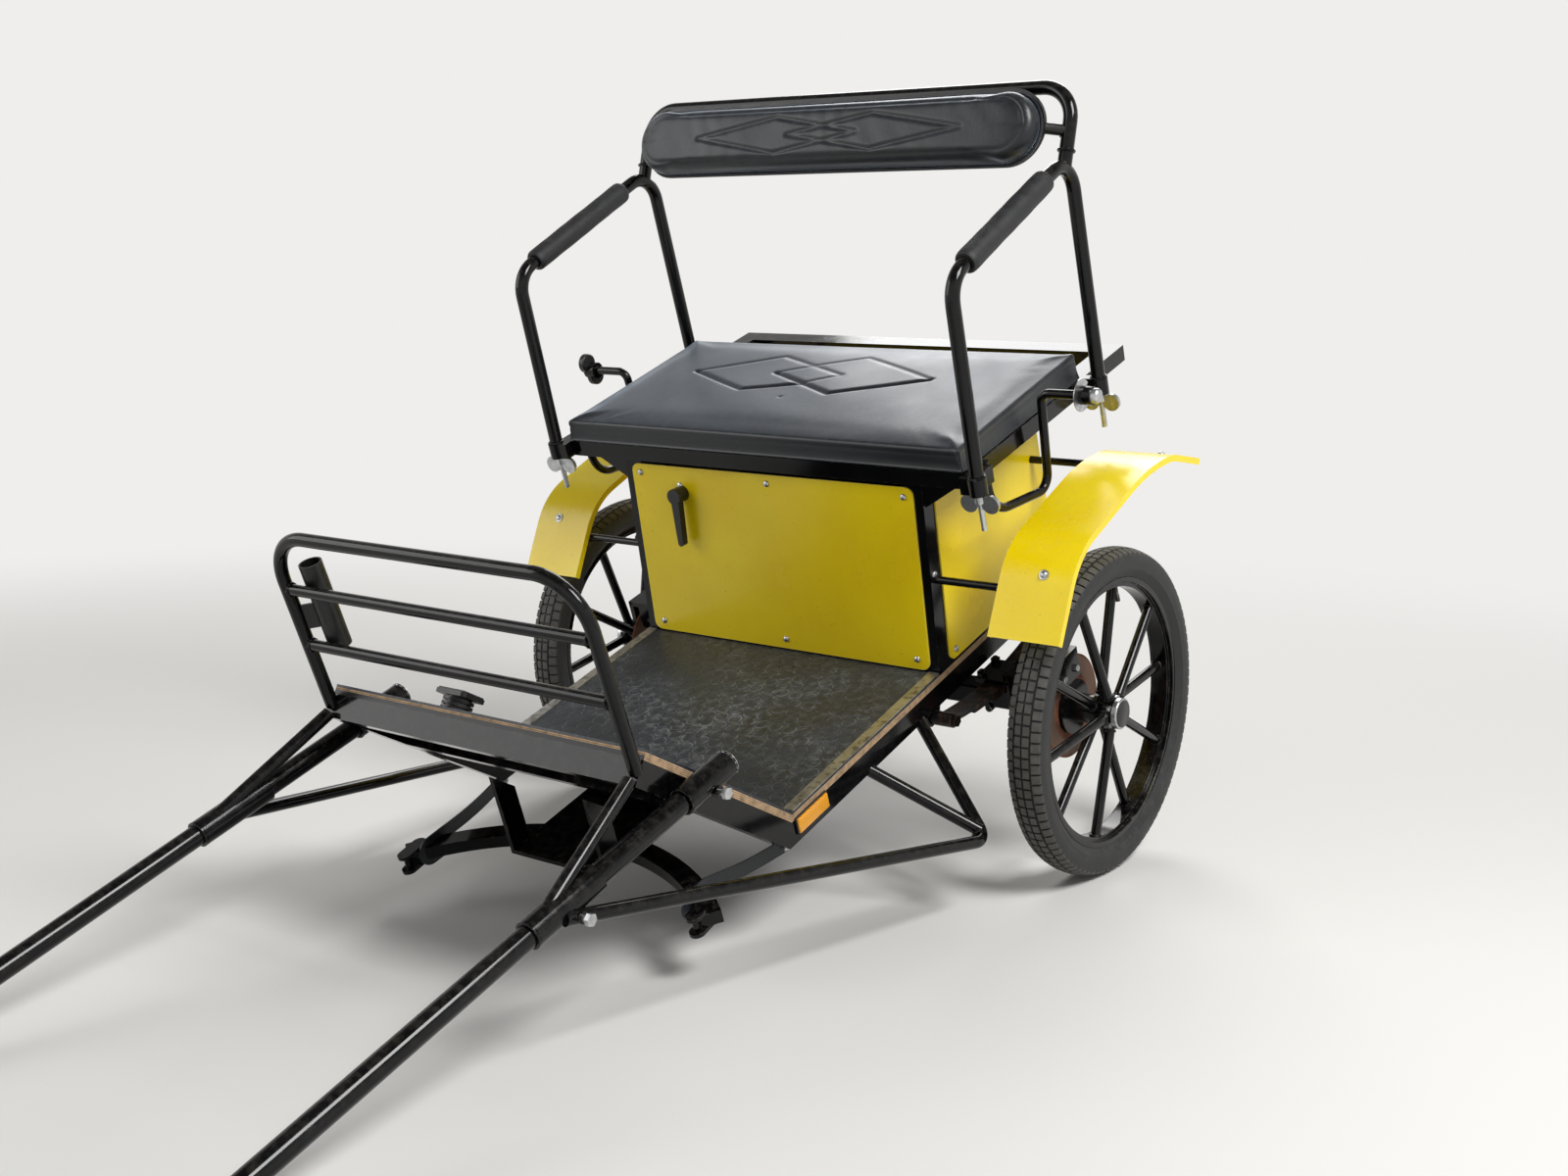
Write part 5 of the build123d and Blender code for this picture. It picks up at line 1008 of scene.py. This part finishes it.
def lamp_ends():
    """The left rod's end has a chromed cap and a sprung clip, the right one a black two-lobed clamp."""
    x, y, z = LAMP_TIP
    cap = ((0.0, 8.0), (0.0, 12.0), (1.5, 13.2), (13.0, 13.2), (16.5, 11.0), (18.5, 7.0), (19.0, 0.0))
    turns = np.linspace(0.15 * pi, 1.85 * pi, 40)
    clip = np.stack([np.full(40, x - 30.0), y + 19.0 * np.cos(turns), z + 19.0 * np.sin(turns)], 1)
    shells = [turned(cap, (x - 13.0, y, z), (1, 0, 0)), carried(clip, strip(18.0, 1.6), (1, 0, 0))]
    make_piece("left_lamp_clip", shells, "bright_zinc")
    lobe = ((0.0, 0.0), (0.0, 17.0), (2.0, 19.0), (12.0, 19.0), (14.0, 17.0), (14.0, 0.0))
    shells = [
        turned(lobe, (-x + 18.0, y - 4.0, z + 16.0), (-1, 0, 0), 32),
        turned(lobe, (-x + 26.0, y + 4.0, z - 12.0), (-1, 0, 0), 32),
        hex_head((-x + 4.0, y - 4.0, z + 16.0), (-1, 0, 0), 13.0, 6.0),
    ]
    make_piece("right_lamp_clamp", shells, "black_plastic")


def check_straps():
    """Webbing from each rail to the swingletree's arm: a flat section carried along a slack curve
    that laps over the arm and returns beneath it."""
    for name, side in SIDES:
        arm_y = SWINGLETREE_Y + side * 19.0
        start = np.array([side * STRAP_X, -640.0, -58.2])
        over = np.array([side * STRAP_ARM_X, arm_y + 20.0, -42.6])
        t = np.linspace(0, 1, 24)[:, None]
        run = start + (over - start) * t + np.array([0, 0, -5.0]) * np.sin(pi * t)
        s = np.linspace(pi / 2, -pi / 2, 12)[:, None]
        lap = np.concatenate([0 * s, -13.4 * np.cos(s), 12.8 * np.sin(s)], 1)
        lap += (side * STRAP_ARM_X, arm_y - 18.0, -55.2)
        back = [(side * (STRAP_ARM_X + 1.0), arm_y + 14.0, -69.4), (side * 279.0, arm_y + 34.0, -62.0)]
        strap = carried(np.concatenate([run, lap, back]), strip(25.0, 2.4), (1, 0, 0))
        piece = make_piece(f"check_strap_{name}", [strap], "black_vinyl", None)
        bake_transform(piece)


def frame_bolts():
    """A bolt through each strap's end, and one from each toe rail into the shaft's sleeve."""
    shells = []
    for name, side in SIDES:
        shells.append(hex_head((side * STRAP_X, -642.0, -60.0), (0, 0, -1), 13.0, 6.0))
        foot = (side * (FLOOR_HALF_WIDTH + 0.2), -832.0, 176.0)
        shells.append(hex_head(foot, (side, 0, 0), 15.0, 7.0))
    make_piece("frame_bolts", shells, "bright_zinc")


def pedal_pad():
    """A ribbed rubber pad on the brake pedal: rounded bars side by side on its plate."""
    out = np.array([0.0, sin(TOE_ANGLE), cos(TOE_ANGLE)])
    up = np.array([0.0, -cos(TOE_ANGLE), sin(TOE_ANGLE)])
    centre = np.array([PEDAL_X, FOLD_Y, 0.0]) + PEDAL_HEIGHT * up + PEDAL_FACE * out
    axes = ((1, 0, 0), up, out)
    spots = [centre + k * 8.6 * up for k in np.arange(6) - 2.5]
    shells = [rounded_box(spot, (62.0, 5.6, 3.2), 1.2, axes=axes) for spot in spots]
    make_piece("pedal_ribs", shells, "black_plastic")


def caliper_bolts():
    """Two cap bolts and a bleed nipple on each brake caliper."""
    nipple = ((0.0, 0.0), (0.0, 4.0), (5.0, 4.0), (6.0, 2.4), (13.0, 2.4), (14.0, 1.4), (14.0, 0.0))
    shells = []
    for name, side in SIDES:
        for y in (-38.0, 6.0):
            shells.append(hex_head((side * 502.9, y, -62.0), (side, 0, 0), 12.0, 6.0))
        shells.append(turned(nipple, (side * 470.0, -16.0, -23.2), (0, 0, 1), 12))
    make_piece("caliper_bolts", shells, "bright_zinc")


seat_cushion()
backrest_pad()
piping()
arm_grips()
for wheel_name, wheel_side in SIDES:
    tyre(wheel_name, wheel_side)
    wheel_fittings(wheel_name, wheel_side)
    valve_and_cap(wheel_name, wheel_side)
bolts()
weld_beads()
sleeve_mouths()
reflectors()
lamp_ends()
check_straps()
frame_bolts()
pedal_pad()
caliper_bolts()

# Floor, light and camera
FLOOR_SIZE = 60.0
BACKDROP = "EFEEEC"


def seen_rays(tree):
    """1 for rays from the camera, mirrors and glass, which see the backdrop, and 0 for the rest."""
    rays = add(tree, "LightPath").node.outputs
    seen = add(tree, "Math.MAXIMUM", rays["Is Camera Ray"], rays["Is Glossy Ray"])
    return add(tree, "Math.MAXIMUM", seen, rays["Is Transmission Ray"])


def plain_floor():
    """A pale level sheet at the wheels' height that fades into the backdrop with distance."""
    bpy.ops.mesh.primitive_plane_add(size=FLOOR_SIZE, location=(0, 0, cad_box[0].z))
    floor = bpy.context.object
    floor.name = "floor"
    material = bpy.data.materials.new("pale_floor")
    material.use_nodes = True
    tree = material.node_tree
    shader = tree.nodes["Principled BSDF"]
    for key, value in {"Base Color": srgb("E3E2DF"), "Roughness": 0.9, "Specular IOR Level": 0.1}.items():
        shader.inputs[key].default_value = value
    place = add(tree, "TexCoord").node.outputs["Object"]
    reach = add(tree, "VectorMath.LENGTH", place)
    far = add(tree, "MapRange", reach, 2.1, 4.8, interpolation_type="SMOOTHSTEP")
    share = add(tree, "Math.MULTIPLY", far, seen_rays(tree))
    glow = add(tree, "Emission", Color=BACKDROP, Strength=1.0)
    mixed = add(tree, "MixShader", share, shader.outputs[0], glow)
    tree.links.new(mixed, tree.nodes["Material Output"].inputs["Surface"])
    floor.data.materials.append(material)


def pale_world():
    """Pale walls that light the cart from all round, under a dimmer ceiling that dark gloss can show."""
    world = bpy.data.worlds.new("pale_room")
    scene.world = world
    world.use_nodes = True
    tree = world.node_tree
    tree.nodes.clear()
    strength = add(tree, "MapRange", seen_rays(tree), 0.0, 1.0, 0.5, 1.0)
    direction = add(tree, "TexCoord").node.outputs["Generated"]
    height = add(tree, "SeparateXYZ", direction).node.outputs["Z"]
    ceiling = add(tree, "MapRange", height, 0.3, 0.75, 1.0, 0.22)
    strength = add(tree, "Math.MULTIPLY", strength, ceiling)
    light = add(tree, "Background", Color=BACKDROP, Strength=strength)
    add(tree, "OutputWorld", Surface=light)


def soft_light(name, spot, target, size, power):
    """A square soft box in metres, aimed at a point."""
    data = bpy.data.lights.new(name, "AREA")
    data.shape = "SQUARE"
    data.size = size
    data.energy = power
    lamp = bpy.data.objects.new(name, data)
    lamp.location = spot
    lamp.rotation_mode = "QUATERNION"
    lamp.rotation_quaternion = (Vector(target) - Vector(spot)).to_track_quat("-Z", "Y")
    scene.collection.objects.link(lamp)


plain_floor()
pale_world()
soft_light("key_light", (3.4, 0.4, 4.0), (0, 0.6, 0.5), 1.8, 210.0)
soft_light("fill_light", (-3.6, -2.4, 2.6), (0, 0.4, 0.6), 3.0, 70.0)
soft_light("back_light", (-1.5, 4.4, 3.6), (0, 0.6, 0.6), 2.4, 100.0)

CAMERA_SPOT = (2.032575, -1.666134, 1.100097)
CAMERA_FORWARD = (-0.593622, 0.784662, -0.178660)
CAMERA_LENS = 42.470
CAMERA_SENSOR = 36.0
camera = bpy.data.objects.new("camera", bpy.data.cameras.new("camera"))
camera.data.lens = CAMERA_LENS
camera.data.sensor_width = CAMERA_SENSOR
camera.location = CAMERA_SPOT
camera.rotation_mode = "QUATERNION"
camera.rotation_quaternion = Vector(CAMERA_FORWARD).to_track_quat("-Z", "Y")
scene.collection.objects.link(camera)
scene.camera = camera
scene.view_settings.view_transform = "Standard"
